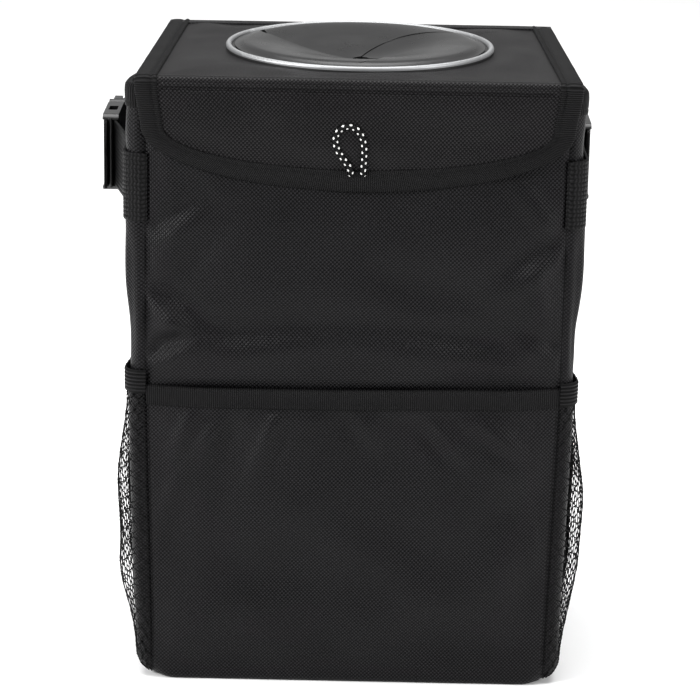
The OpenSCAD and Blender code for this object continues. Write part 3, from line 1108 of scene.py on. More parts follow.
@dataclass(frozen=True)
class BinShape:
    """The stiffened box: its size from the frame, and how its cloth softens it."""

    half_w: float
    half_d: float
    height: float
    corner_r: float
    foot_r: float = 3 * MM
    foot_more: float = 11 * MM
    taper: float = 3.2 * MM
    taper_top: float = 190 * MM
    seam_dip: float = 1.5 * MM
    belly_left: float = 1.7 * MM
    belly_right: float = -0.3 * MM
    hollow: float = 2.6 * MM
    lean_y: float = -45 * MM
    lean_in: float = 6 * MM
    lean_slope: float = 0.044

    @classmethod
    def of_frame(cls) -> "BinShape":
        """Reads the box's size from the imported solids.

        Returns:
            The box.
        """
        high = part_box("side_panel_right")[1]
        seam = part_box("front_panel")[1].x
        return cls(high.x, high.y, high.z, high.x - seam)

    @property
    def seam(self) -> float:
        """Where the front panel's side seams run."""
        return self.half_w - self.corner_r

    def plan(self, wall: Wall, step: float = 3 * MM) -> tuple[Array, Array, Array]:
        """Follows one wall round in plan, from its seam to the next.

        Args:
            wall: The wall. The right and left walls have the corners.
            step: The usual distance between points, in metres.

        Returns:
            The points, the outward directions and the distance run at each point.
        """
        r, seam, deep = self.corner_r, self.seam, self.half_d
        if wall in (Wall.FRONT, Wall.BACK):
            facing = -1 if wall is Wall.FRONT else 1
            x = np.linspace(facing * seam, -facing * seam, int(2 * seam / step) + 1)
            place = joined(x, facing * deep)
            out = np.tile([0.0, float(facing)], (len(x), 1))
        else:
            facing = 1 if wall is Wall.RIGHT else -1
            near, far = arc_points(-90, 0, 9), arc_points(0, 90, 9)
            y = np.linspace(r - deep, deep - r, int(2 * (deep - r) / step) + 1)[1:-1]
            flat = joined(self.half_w, y)
            place = np.vstack([r * near + [seam, r - deep], flat, r * far + [seam, deep - r]])
            out = np.vstack([near, np.tile([1.0, 0.0], (len(y), 1)), far])
            if facing < 0:
                place, out = -place, -out
        return place, out, lengths(place)

    def all_round(self, step: float = 3 * MM) -> tuple[Array, Array]:
        """Follows all four walls round in plan, closed.

        Args:
            step: The usual distance between points, in metres.

        Returns:
            The points and the outward directions.
        """
        parts = [self.plan(w, step) for w in (Wall.FRONT, Wall.RIGHT, Wall.BACK, Wall.LEFT)]
        place = np.vstack([p[:-1] for p, _, _ in parts] + [parts[0][0][:1]])
        out = np.vstack([o[:-1] for _, o, _ in parts] + [parts[0][1][:1]])
        return place, out

    def belly(self, place: Array, out: Array, z: Array) -> Array:
        """Works out how far the side walls belly out.

        Args:
            place: Where the points are in plan.
            out: The outward directions there.
            z: Their heights.

        Returns:
            The distance at each point, in metres.
        """
        full = np.where(out[..., 0] < 0, self.belly_left, self.belly_right)
        near = smooth(np.abs(place[..., 0]), self.seam, self.half_w - 2 * MM)
        y = place[..., 1]
        deep = ease(y, -82, -52) * ease(-y, -80, -50)
        tall = ease(z, 80, 160) * ease(-z, -330, -270)
        return near * (full * ease(z, 4, 70) - self.hollow * deep * tall)

    def lean(self, y: Array, z: Array) -> Array:
        """Returns how far the side walls lean in under the lid, which narrows to the back."""
        along = ease(y, -76, -38) * (self.lean_in + self.lean_slope * (y - self.lean_y))
        return along * smooth(z, 0.62 * self.height, 0.985 * self.height)

    def at(self, place: Array, out: Array, z: Array,
           off: Array | float) -> Array:
        """Puts points on the softened walls.

        Args:
            place: Where they are in plan, shape (..., 2).
            out: The outward directions there.
            z: Their heights.
            off: How far they stand out.

        Returns:
            The points, shape (..., 3).
        """
        side = smooth(np.abs(place[..., 0]), 0.89 * self.seam, 1.03 * self.seam)
        foot = self.foot_r + self.foot_more * side
        low = np.clip(foot - z, 0, foot)
        drawn = foot - np.sqrt(np.maximum(foot ** 2 - low ** 2, 0))
        xy = place + out * (off + self.belly(place, out, z) - drawn)[..., None]
        in_by = self.taper * smooth(self.taper_top - z, 0, self.taper_top)
        lean = self.lean(xy[..., 1], z)
        x = xy[..., 0] * (1 - (in_by + lean) / self.half_w)
        y = xy[..., 1] * (1 - 0.5 * in_by / self.half_d)
        return joined(x, y, z)

    def on(self, place: Array, out: Array, z: Array,
           off: Array | float) -> Array:
        """Puts a grid of points on the softened walls.

        Args:
            place: Points in plan, shape (columns, 2).
            out: The outward directions there.
            z: Heights by row, shape (rows,).
            off: How far the points stand out, shape (rows, columns) or a number.

        Returns:
            The points, shape (rows, columns, 3).
        """
        return self.at(place[None], out[None], z[:, None], off)


SIDE_CREASES = Crease.table(
    (-40, 245, 68, 40, 9, -1.2), (30, 215, 80, 35, 10, -1.2),
    (55, 275, 60, 30, 9, -1.0), (-10, 300, 12, 45, 10, -0.8),
)
CREASES = {
    Wall.FRONT: Crease.table(
        (-99, 251, 54, 24, 8, 2.2), (-98, 223, -30, 28, 6.5, -4.2),
        (-103, 211, 30, 18, 6, 1.8), (-104, 198, 26, 16, 4.5, -2.6),
        (-101, 270, 32, 16, 5, -1.8), (99, 276, -52, 24, 8, 2.2),
        (99, 255, 32, 24, 6.5, -3.4), (103, 205, -28, 18, 5, -1.8),
        (-50, 209, 6, 45, 8, -3.0), (50, 207, -6, 45, 8, -3.0),
        (-30, 236, 12, 55, 13, 0.7), (40, 250, -8, 55, 13, 0.6),
    ),
    Wall.BACK: Crease.table(
        (-60, 230, 24, 50, 12, 1.0), (70, 120, -18, 50, 14, 1.0), (10, 60, 8, 60, 14, 0.8),
    ),
    Wall.RIGHT: SIDE_CREASES,
    Wall.LEFT: SIDE_CREASES,
}
POCKET_CREASES = Crease.table(
    (-47, 146, 68, 19, 5, 2.6), (-76, 150, 58, 15, 5, 2.2), (-94, 148, 64, 15, 4, 1.8),
    (51, 150, -48, 16, 5, 2.6), (83, 149, -36, 15, 5, 2.4), (10, 152, -60, 14, 6, 1.4),
    (-102, 110, 64, 30, 6, 1.4), (101, 100, -66, 34, 6, 1.4), (-40, 98, 40, 40, 12, 1.9),
    (10, 80, -34, 45, 13, 1.7), (50, 55, 24, 50, 14, 1.5),
)


@dataclass
class BinShell:
    """The outer cloth of the walls and base, and the waterproof lining."""

    shape: BinShape
    looks: Finishes
    relief: Relief
    pocket_top: float
    rows: int = 118
    column_w: float = 2.2 * MM
    liner_in: float = 3.6 * MM
    liner_gap: float = 1.2 * MM
    dip_w: float = 1.6 * MM
    fullness: float = 1.3 * MM
    puff: float = 2.9 * MM
    puff_w: float = 34 * MM
    puff_w_high: float = 19 * MM
    groove: float = 1.5 * MM
    groove_at: float = 8 * MM
    groove_w: float = 2.4 * MM
    flap_foot: float = 294 * MM
    strap_foot: float = 268 * MM

    def heights(self) -> Array:
        """Spaces the rows, close together round the foot.

        Returns:
            The rows' heights.
        """
        curved = self.shape.foot_r + self.shape.foot_more
        foot = curved * (1 - np.cos(np.linspace(0, math.pi / 2, 13)))
        return np.concatenate([foot, np.linspace(curved, self.shape.height - 0.5 * MM,
                                                 self.rows)[1:]])

    def offsets(self, wall: Wall, run: Array, z: Array) -> Array:
        """Works out how far the cloth stands out over one wall.

        Args:
            wall: The wall.
            run: The distance along it at each column.
            z: The rows' heights.

        Returns:
            Offsets by row and column, in metres.
        """
        u, h = (run - run[-1] / 2)[None], z[:, None]
        edge = np.minimum(run, run[-1] - run)[None]
        under_rim = ease(self.shape.height - h, 8, 40)
        folds = sum(crease.height(u, h) for crease in CREASES[wall]) * (ease(edge, 0, 5) * under_rim)
        held = ease(edge, 0, 14) * under_rim
        front = wall is Wall.FRONT
        if front:
            held = held * (1 - self.under_tape(u, h))
        share = ease(h - self.pocket_top, -4, 8) if wall is not Wall.BACK else 1.0
        full = (self.soft(wall, u, h) + self.fullness * front) * held
        out = (full + folds) * ease(h, 4, 40) * share
        if front:
            out = out + self.puffed(edge, h)
        elif wall is not Wall.BACK:
            near = run[None] if wall is Wall.RIGHT else (run[-1] - run)[None]
            out = out - self.grooved(near, h)
        deep = self.liner_in - self.liner_gap
        dip = self.shape.seam_dip * bump(edge, 0, self.dip_w)
        return np.where(out < 0, -deep * np.tanh(-out / deep), out) - dip

    def soft(self, wall: Wall, u: Array, h: Array) -> Array:
        """Lays the settled cloth over one wall, turned so that no two walls look the same.

        Args:
            wall: The wall.
            u: Distances from its middle.
            h: The heights.

        Returns:
            How far the cloth stands out, in metres.
        """
        turn = -1 if wall in (Wall.RIGHT, Wall.BACK) else 1
        up = h if wall in (Wall.FRONT, Wall.RIGHT) else self.shape.height - h
        return self.relief.at(turn * u, up) + ripple(u, h, 0.10, 11 + wall.value) * 0.35 * MM

    def puffed(self, edge: Array, h: Array) -> Array:
        """Works out how far the front puffs out between the pocket and the flap.

        Args:
            edge: Distances from the nearer side seam.
            h: The heights.

        Returns:
            The distance at each point, in metres.
        """
        over_pocket = h - self.pocket_top
        tall = ease(over_pocket, -30, -6) * ease(self.flap_foot - h, 0, 30)
        wide = self.puff_w - (self.puff_w - self.puff_w_high) * ease(over_pocket, 5, 30)
        return self.puff * smooth(edge / wide, 0, 1) * tall

    def grooved(self, near: Array, h: Array) -> Array:
        """Works out how deep the groove beside a side wall's front corner is.

        Args:
            near: Distances from the front seam.
            h: The heights.

        Returns:
            The depth at each point, in metres.
        """
        tall = ease(h - self.pocket_top, 4, 26) * ease(self.strap_foot - h, 0, 22)
        return self.groove * bump(near, self.groove_at, self.groove_w) * tall

    @staticmethod
    def under_tape(u: Array, h: Array) -> Array:
        """Marks where the loop tape is sewn down flat on the front.

        Args:
            u: Distances from the front's middle.
            h: The heights.

        Returns:
            1 under the tape and 0 elsewhere, eased between them.
        """
        low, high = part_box("loop_tape")
        margin = 9 * MM
        across = smooth(high.x + margin - np.abs(u), 0, margin)
        return across * smooth(h, low.z - margin, low.z) * smooth(high.z + margin - h, 0, margin)

    def wall(self, wall: Wall, name: str, replaced: tuple[str, ...]) -> None:
        """Makes one wall's outer cloth.

        Args:
            wall: The wall.
            name: The piece's name.
            replaced: The solids that it stands for.
        """
        place, out, run = self.shape.plan(wall, self.column_w)
        z = self.heights()
        points = self.shape.on(place, out, z, self.offsets(wall, run, z))
        uv = cloth_map(run, z)
        piece = Builder().grid(points, uv).make(name)
        finish_piece(piece, self.looks.weave, Body.BIN, replaced)

    def base(self) -> None:
        """Makes the base's cloth, which meets the walls at the foot."""
        place, out = self.shape.all_round()
        ring = self.shape.on(place, out, np.zeros(1), 0.0)[0]
        rings = np.linspace(1, 0, 12)
        points = ring[None] * joined(rings, rings, 1.0)[:, None]
        points[..., 2] = (0.6 * MM * smooth(1 - rings, 0, 0.1))[:, None]
        piece = Builder().grid(points, points[..., :2], around=True).make("base_cover", weld=True)
        finish_piece(piece, self.looks.weave, Body.BIN, ("base_panel", "base_board"))

    def lining(self) -> None:
        """Makes the lining: four walls and a floor in one, faintly creased."""
        place, out = self.shape.all_round(4 * MM)
        run = lengths(place)
        floor_z = 3.2 * MM
        z = np.concatenate([np.linspace(floor_z, 14 * MM, 6), np.linspace(20 * MM, self.shape.height, 46)])
        h = z[:, None]
        held = ease(self.shape.height - h, 4, 30)
        off = -self.liner_in - 0.4 * MM * (1 + ripple(run[None], h, 0.06, 5)) * held
        off = off - 5 * MM * (1 - smooth(h, floor_z, 12 * MM)) ** 2
        points = self.shape.on(place, out, z, off)
        uv = cloth_map(run, z)
        rings = np.linspace(1, 0, 14)[:, None]
        bottom = points[0] * joined(rings, rings, 1.0)
        bottom[..., 2] += 0.3 * MM * ripple(bottom[..., 0], bottom[..., 1], 0.05, 9) * (rings < 1)
        made = Builder().grid(points, uv, around=True, flip=True)
        made.grid(bottom, bottom[..., :2], around=True)
        piece = made.make("lining", weld=True)
        finish_piece(piece, self.looks.film, Body.BIN, ("liner",))

    def build(self) -> None:
        """Makes every piece of the shell."""
        for wall, side, end in ((Wall.FRONT, "front", ""), (Wall.RIGHT, "side", "_right"),
                                (Wall.BACK, "back", ""), (Wall.LEFT, "side", "_left")):
            self.wall(wall, f"{side}_cover{end}", (f"{side}_panel{end}", f"{side}_board{end}"))
        self.base()
        self.lining()


@dataclass
class Trims:
    """The ribbed tape over the rim, and the cloth that the lid hinges on."""

    shape: BinShape
    looks: Finishes
    tape_t: float = 0.8 * MM
    tape_w: float = 12.5 * MM
    wall_t: float = 3.6 * MM

    def rim(self) -> None:
        """Makes the tape folded over the walls' top edge."""
        place, out = self.shape.all_round(1.5 * MM)
        run = lengths(place)
        t, wall, low = self.tape_t / MM, self.wall_t / MM, -self.tape_w / MM
        section = MM * np.array([
            [0.1, low], [t + 0.15, low + 0.3], [t + 0.35, low + 2.2], [t + 0.05, low + 2.9],
            [t + 0.35, low + 3.8], [t + 0.5, -4], [t + 0.2, -0.8], [-0.2, t], [0.4 - wall, t],
            [-wall - t, -0.8], [-wall - t - 0.3, -5], [-wall - t, low + 0.3], [-wall, low],
        ]) + [0, self.shape.height]
        section = evenly(section, 0.9 * MM)
        wobble = 0.3 * MM * ripple(run, run * 0, 0.05, 3)
        off, z = section[:, :1], section[:, 1]
        points = self.shape.on(place, out, z, off + np.sign(off + self.wall_t / 2) * wobble)
        uv = cloth_map(run, lengths(section))
        piece = Builder().grid(points, uv, around=True).make("rim_tape")
        finish_piece(piece, self.looks.tape, Body.BIN, ("rim_binding",))

    def hinge(self, lid_top: float, lid_half: float) -> None:
        """Makes the cloth that joins the lid's rear edge to the back wall.

        Args:
            lid_top: The height of the lid's upper face.
            lid_half: Half of the lid's width at the back.
        """
        y = self.shape.half_d
        wall = MM * np.array([[0.9, -15], [1.7, -14], [1.9, -4], [2.0, 1]])
        lid = MM * np.array([[2.1, -1.2], [1.3, 0.5], [-1, 0.9], [-8, 0.9], [-8.6, 0.2]])
        profile = np.vstack([wall + [y, self.shape.height], lid + [y, lid_top]])
        profile = evenly(curve_through(profile, 5), 0.8 * MM)
        x = np.linspace(-lid_half, lid_half, 90)
        soft = 0.25 * MM * ripple(x[:, None], profile[None, :, 1], 0.05, 21)
        points = joined(x[:, None], profile[:, 0] + soft * 0.6, profile[:, 1] + soft * 0.4)
        uv = np.stack(np.meshgrid(x, lengths(profile), indexing="ij"), -1)
        piece = Builder().grid(points, uv).make("hinge_cloth")
        finish_piece(piece, self.looks.weave, None)
        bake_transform(piece)

    def build(self, lid_top: float, lid_half: float) -> None:
        """Makes both trims."""
        self.rim()
        self.hinge(lid_top, lid_half)


# Pockets


@dataclass
class FrontPocket:
    """The cloth pocket across the front, with ribbed tape over its top edge."""

    shape: BinShape
    looks: Finishes
    relief: Relief
    top: float
    bulge: float = 5.5 * MM
    run: float = 34 * MM
    foot: float = 50 * MM
    tape_w: float = 11.4 * MM
    tape_t: float = 0.8 * MM

    def stand(self, x: Array, z: Array) -> Array:
        """Works out how far the pocket stands out from the wall.

        Args:
            x: Distances from the front's middle.
            z: The heights.

        Returns:
            The distance at each point, in metres.
        """
        edge = self.shape.seam - np.abs(x)
        full = smooth(edge, -4 * MM, self.run) * smooth(z, 0, self.foot)
        return 0.9 * MM + self.bulge * full - 1.2 * MM * bump(edge, 0, 1.5 * MM)

    def folds(self, x: Array, z: Array) -> Array:
        """Adds up the soft folds under the tape and over the pocket's face.

        Args:
            x: Distances from the front's middle.
            z: The heights.

        Returns:
            How far the cloth is lifted at each point, in metres.
        """
        total = self.relief.at(x, z) + 0.4 * MM * ripple(x, z, 0.09, 31)
        for crease in POCKET_CREASES:
            total = total + crease.height(x, z)
        edge = self.shape.seam - np.abs(x)
        held = ease(edge, 1, 12) * ease(z, 4, 24)
        return total * held * ease(self.top - self.tape_w - z, 0, 7)

    def cloth(self) -> None:
        """Makes the pocket's cloth."""
        place, out, run = self.shape.plan(Wall.FRONT, 2.0 * MM)
        keep = np.abs(place[:, 0]) <= self.shape.seam - 0.3 * MM
        place, out, run = place[keep], out[keep], run[keep]
        foot = 9 * MM * (1 - np.cos(np.linspace(0, math.pi / 2, 9))) + 0.4 * MM
        z = np.concatenate([foot, np.linspace(9.4 * MM, self.top - 1 * MM, 84)[1:]])
        x, h = place[None, :, 0], z[:, None]
        off = self.stand(x, h) + self.folds(x, h)
        points = self.shape.on(place, out, z, off)
        piece = Builder().grid(points, cloth_map(run + 0.7 * MM, z)).make("pocket_cloth")
        finish_piece(piece, self.looks.weave, Body.BIN, ("front_pocket",))

    def tape(self) -> None:
        """Makes the ribbed tape over the pocket's top edge."""
        place, out, run = self.shape.plan(Wall.FRONT, 1.5 * MM)
        t, low = self.tape_t / MM, -self.tape_w / MM
        section = MM * np.array([
            [0.1, low], [t, low + 0.25], [t + 0.25, low + 1.5], [t, low + 2.2], [t + 0.4, low + 3.2],
            [t + 0.7, -5], [t + 0.3, -1.2], [-0.5, 0.1], [-1.5, -1.2], [-1.7, low],
        ]) + [0, self.top]
        section = evenly(curve_through(section, 4), 0.8 * MM)
        x = place[:, 0]
        wave = 0.7 * MM * ripple(x, x * 0, 0.11, 37) * ease(self.shape.seam - np.abs(x), 0, 30)
        off, z = section[:, :1], section[:, 1]
        under = np.minimum(z, self.top - self.tape_w)[:, None]
        points = self.shape.on(place, out, z, self.stand(x[None], under) + off + wave)
        points[..., 2] += (0.4 * MM * ripple(x, x * 0, 0.16, 41) + 1.1 * MM * x / self.shape.seam)[None]
        uv = cloth_map(run, lengths(section))
        piece = Builder().grid(points, uv).make("pocket_tape")
        finish_piece(piece, self.looks.tape, Body.BIN, ("pocket_binding",))

    def build(self) -> None:
        """Makes the pocket."""
        self.cloth()
        self.tape()


@dataclass
class NetPocket:
    """A knitted net pocket round one side, from seam to seam, gathered by an elastic band."""

    shape: BinShape
    looks: Finishes
    side: int
    top: float
    bulge: float = 7.6 * MM
    run: float = 36 * MM
    band_h: float = 13 * MM
    cell_w: float = 5.2 * MM
    cell_h: float = 4.6 * MM
    post: tuple[float, float] = (-0.04, 0.36)
    uneven: float = 0.3 * MM
    foot: float = 3 * MM
    thread: float = 0.35 * MM
    cords: int = 6
    cord_t: float = 0.34 * MM
    band_t: float = 0.9 * MM
    sag: float = 1.3 * MM
    off_wall: float = 0.6 * MM
    tighter_back: float = 0.42

    @property
    def word(self) -> str:
        """The side's name."""
        return "right" if self.side > 0 else "left"

    @property
    def span(self) -> float:
        """How long the side is in plan, from seam to seam."""
        return float(self.shape.plan(Wall.RIGHT)[2][-1])

    def place(self, s: Array, z: Array, off: Array) -> Array:
        """Puts points over the side wall.

        Args:
            s: How far along the wall they are from the front seam.
            z: Their heights.
            off: How far they stand out.

        Returns:
            The points, shape (..., 3).
        """
        plan, out, run = self.shape.plan(Wall.RIGHT, 1.5 * MM)
        x, y, out_x, out_y = (np.interp(s, run, line) for line in (*plan.T, *out.T))
        away = unit(joined(self.side * out_x, out_y))
        return self.shape.at(joined(self.side * x, y), away, z, off)

    def stand(self, s: Array, z: Array) -> Array:
        """Works out how far the net stands out from the wall.

        Args:
            s: How far along the wall the points are from the front seam.
            z: Their heights.

        Returns:
            The distance at each point, in metres.
        """
        ends = ease(s, -3, 19) * (1 - self.tighter_back * ease(s, 21, 54))
        ends = ends * smooth(self.span - s, -3 * MM, self.run)
        gathered = ease(z - (self.top - self.band_h), -56, 0)
        belly = ease(z, 12, 74) * (1 - 0.96 * gathered)
        sag = self.sag * ripple(s, z, 0.05, 50 + self.side) * (1 - gathered)
        return self.off_wall + (self.bulge * belly + sag * belly) * ends

    def knots(self) -> Array:
        """Places the net's knots a little unevenly, by row, column and end of the post there.

        Returns:
            How far each knot is along the side and up, shape (rows, columns, 2, 2).
        """
        net_top = self.top - self.band_h + 2 * MM
        shape = int((net_top - self.foot) / self.cell_h) + 1, int(self.span / self.cell_w) + 1
        draw = np.random.default_rng(71 + self.side)
        knots = draw.normal(0, self.uneven, (*shape, 2, 2))
        row, column = np.indices(shape)[..., None]
        knots[..., 0] += (column + 0.5 * (row % 2) + 0.25) * self.cell_w
        knots[..., 1] += self.foot + (row + np.array(self.post)) * self.cell_h
        ends = 0.3 * MM
        return np.clip(knots, [ends, 2 * MM], [self.span - ends, np.inf])

    def net(self) -> None:
        """Makes the net: six-sided cells of thin thread."""
        knots = self.knots()
        rows, columns = knots.shape[:2]
        threads = []
        for row in range(rows):
            for column in range(columns):
                low, high = knots[row, column]
                threads.append((low, high))
                aside = column - 1 + row % 2
                for other in (aside, aside + 1):
                    if row + 1 < rows and 0 <= other < columns:
                        threads.append((high, knots[row + 1, other, 0]))
        a, b = (self.place(*ends, self.stand(*ends)) for ends in np.array(threads).transpose(1, 2, 0))
        middle = (a + b) / 2
        along = unit(b - a)
        a, b = a - along * self.thread * 0.4, b + along * self.thread * 0.4
        flat = unit(np.cross(along, np.tile([float(self.side), -0.3, 0], (len(a), 1))))
        deep = np.cross(along, flat)
        points = np.stack(
            [at + self.thread * thick * (wide * flat + tall * deep)
             for at, thick in ((a, 1.3), (middle, 0.8), (b, 1.3))
             for wide, tall in ((1.2, 0), (0, 0.85), (-1.2, 0), (0, -0.85))], 1)
        faces = np.array([[4 * k + i, 4 * k + (i + 1) % 4, 4 * k + 4 + (i + 1) % 4, 4 * k + 4 + i]
                          for k in range(2) for i in range(4)])
        piece = Builder().solids(points, faces).make(f"net_{self.word}")
        finish_piece(piece, self.looks.thread, Body.BIN, (f"mesh_pocket_{self.word}",))

    def band(self) -> None:
        """Makes the elastic band, in corded rows, sewn into the seams at both ends."""
        s = np.linspace(0.2 * MM, self.span - 0.2 * MM, 150)
        low, steps = self.top - self.band_h, 6
        share = np.arange(self.cords * steps + 1) / steps
        rise = joined(self.band_t + self.cord_t * np.abs(np.sin(math.pi * share)),
                      low + self.band_h * share / self.cords)
        section = np.vstack([
            [0, low + 0.1 * MM], rise, [0, self.top + 0.1 * MM],
            [-0.6 * MM, self.top - 1 * MM], [-0.6 * MM, low + 1 * MM],
        ])
        gather = 0.25 * MM * np.sin(TURN * s / (5.6 * MM)) * ease(s, 4, 30)
        thin = 1 - 0.6 * ease(s, 22, 60)
        base = self.stand(s, np.full_like(s, low))
        at, z = np.broadcast_arrays(s, section[:, 1:])
        points = self.place(at, z, base + (section[:, :1] + gather) * thin)
        uv = cloth_map(s, lengths(section))
        piece = Builder().grid(points, uv, flip=self.side < 0).make(f"elastic_{self.word}")
        finish_piece(piece, self.looks.elastic, Body.BIN, (f"mesh_elastic_{self.word}",))

    def build(self) -> None:
        """Makes the pocket."""
        self.net()
        self.band()


# Webbing and buckles


@dataclass
class Straps:
    """The webbing at both sides and across the back, with its side-release buckles."""

    shape: BinShape
    looks: Finishes
    strap_t: float = 1.6 * MM
    bar_r: float = 1.6 * MM
    tail: float = 9 * MM
    leave_y: float = -48 * MM
    slack: float = 7.2 * MM
    male_bar: float = 54.1 * MM
    columns: int = 16

    def bar(self, word: str) -> float:
        """Returns how far out a buckle's middle is, without its sign."""
        low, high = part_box(f"buckle_female_{word}")
        return abs(low.x + high.x) / 2

    @property
    def lie(self) -> float:
        """How far the middle of the webbing lies from the wall."""
        return self.strap_t / 2 + 0.2 * MM

    @property
    def loop_r(self) -> float:
        """The radius of the webbing's turn round a bar."""
        return self.bar_r + self.strap_t / 2 + 0.2 * MM

    def side_route(self, word: str) -> Array:
        """Lays out the side webbing in plan, as on the right.

        Args:
            word: The side's name.

        Returns:
            The route's points.
        """
        s, bar, r = self.shape, self.bar(word), self.loop_r
        wall = np.vstack([
            [[s.seam - 0.6 * MM, -s.half_d - self.lie + 1.1 * MM]],
            [s.seam, s.corner_r - s.half_d] + (s.corner_r + self.lie) * arc_points(-82, 0, 9),
            [[s.half_w + self.lie, self.leave_y - 12 * MM], [s.half_w + self.lie, self.leave_y]],
        ])
        belly = s.belly_left if word == "left" else s.belly_right
        wall[:, 0] += (belly + 0.4 * MM) * smooth(wall[:, 0], s.seam, s.half_w - 2 * MM)
        return np.vstack([
            wall,
            [bar, 0] + r * arc_points(180, 0, 13),
            [[bar + r - 0.3 * MM, -self.tail * 0.6], [bar + r - 0.6 * MM, -self.tail]],
        ])

    def rear_half(self, word: str) -> Array:
        """Lays out half of the rear webbing in plan, as on the right.

        Args:
            word: The side's name.

        Returns:
            The route's points.
        """
        s, bar, r = self.shape, self.bar(word), self.loop_r
        wide = s.corner_r + self.slack + self.strap_t / 2
        return np.vstack([
            [[bar + r - 0.6 * MM, self.male_bar + self.tail], [bar + r - 0.2 * MM, self.male_bar + 4 * MM]],
            [bar, self.male_bar] + r * arc_points(0, -180, 13),
            [[bar - r, self.male_bar + self.tail + self.strap_t]],
            [s.seam, s.half_d - s.corner_r] + wide * arc_points(10, 90, 9),
        ])

    def ribbon(self, route: Array, low: float, high: float, name: str, body: Body,
               replaced: tuple[str, ...]) -> None:
        """Makes webbing with rounded edges and a woven swell along its route.

        Args:
            route: The middle line in plan.
            low: The webbing's lower edge.
            high: Its upper edge.
            name: The piece's name.
            body: The body that it rides on.
            replaced: The solids that it stands for.
        """
        line = evenly(curve_through(route, 6), 1.0 * MM)
        ahead = turned(line)
        centres = joined(line[:, 0], line[:, 1], (low + high) / 2)
        outward = joined(-ahead[:, 1], ahead[:, 0], 0.0)
        up = np.tile([0.0, 0.0, 1.0], (len(line), 1))
        half, t = (high - low) / 2, self.strap_t / 2
        face = np.linspace(-half + 0.5 * MM, half - 0.5 * MM, self.columns * 4 + 1)
        swell = t * (0.84 + 0.16 * np.abs(np.sin(np.linspace(0, self.columns * math.pi, len(face)))))
        section = np.vstack([
            joined(face, swell),
            [[half - 0.1 * MM, 0.6 * t], [half, 0], [half - 0.1 * MM, -0.6 * t]],
            joined(face[::-1], -swell[::-1]),
            [[-half + 0.1 * MM, -0.6 * t], [-half, 0], [-half + 0.1 * MM, 0.6 * t]],
            [[face[0], swell[0]]],
        ])
        points, uv = sweep(centres, up, outward, section)
        piece = Builder().tube(points, uv, points[[0, -1]].mean(1)).make(name, weld=True)
        finish_piece(piece, self.looks.webbing, body, replaced)

    def build(self) -> None:
        """Makes the webbing and dresses the buckles."""
        for word, sign in (("left", -1), ("right", 1)):
            low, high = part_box(f"side_strap_{word}")
            route = self.side_route(word) * [sign, 1]
            self.ribbon(route, low.z, high.z, f"side_webbing_{word}", Body.BIN,
                        (f"side_strap_{word}",))
        low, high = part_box("rear_strap")
        left = self.rear_half("left")[::-1] * [-1, 1]
        route = np.vstack([self.rear_half("right"), left])
        self.ribbon(route, low.z, high.z, "rear_webbing", Body.STRAP, ("rear_strap",))
        dress(("buckle_female_left", "buckle_female_right", "buckle_male_left",
               "buckle_male_right"), self.looks.buckle, 0.7 * MM)


# Lid, flap and insert


def stacked(*columns: Array | float) -> Array:
    """Puts columns side by side, each a number or of shape (rows, 1)."""
    return np.hstack(np.broadcast_arrays(*columns))


def spread(points: Array, *values: Array | float | Place) -> tuple[Array, ...]:
    """Repeats what is the same along a stretch, so that every point of it has its own row."""
    return (points, *(np.broadcast_to(value, (len(points), np.atleast_2d(value).shape[1]))
                      for value in values))


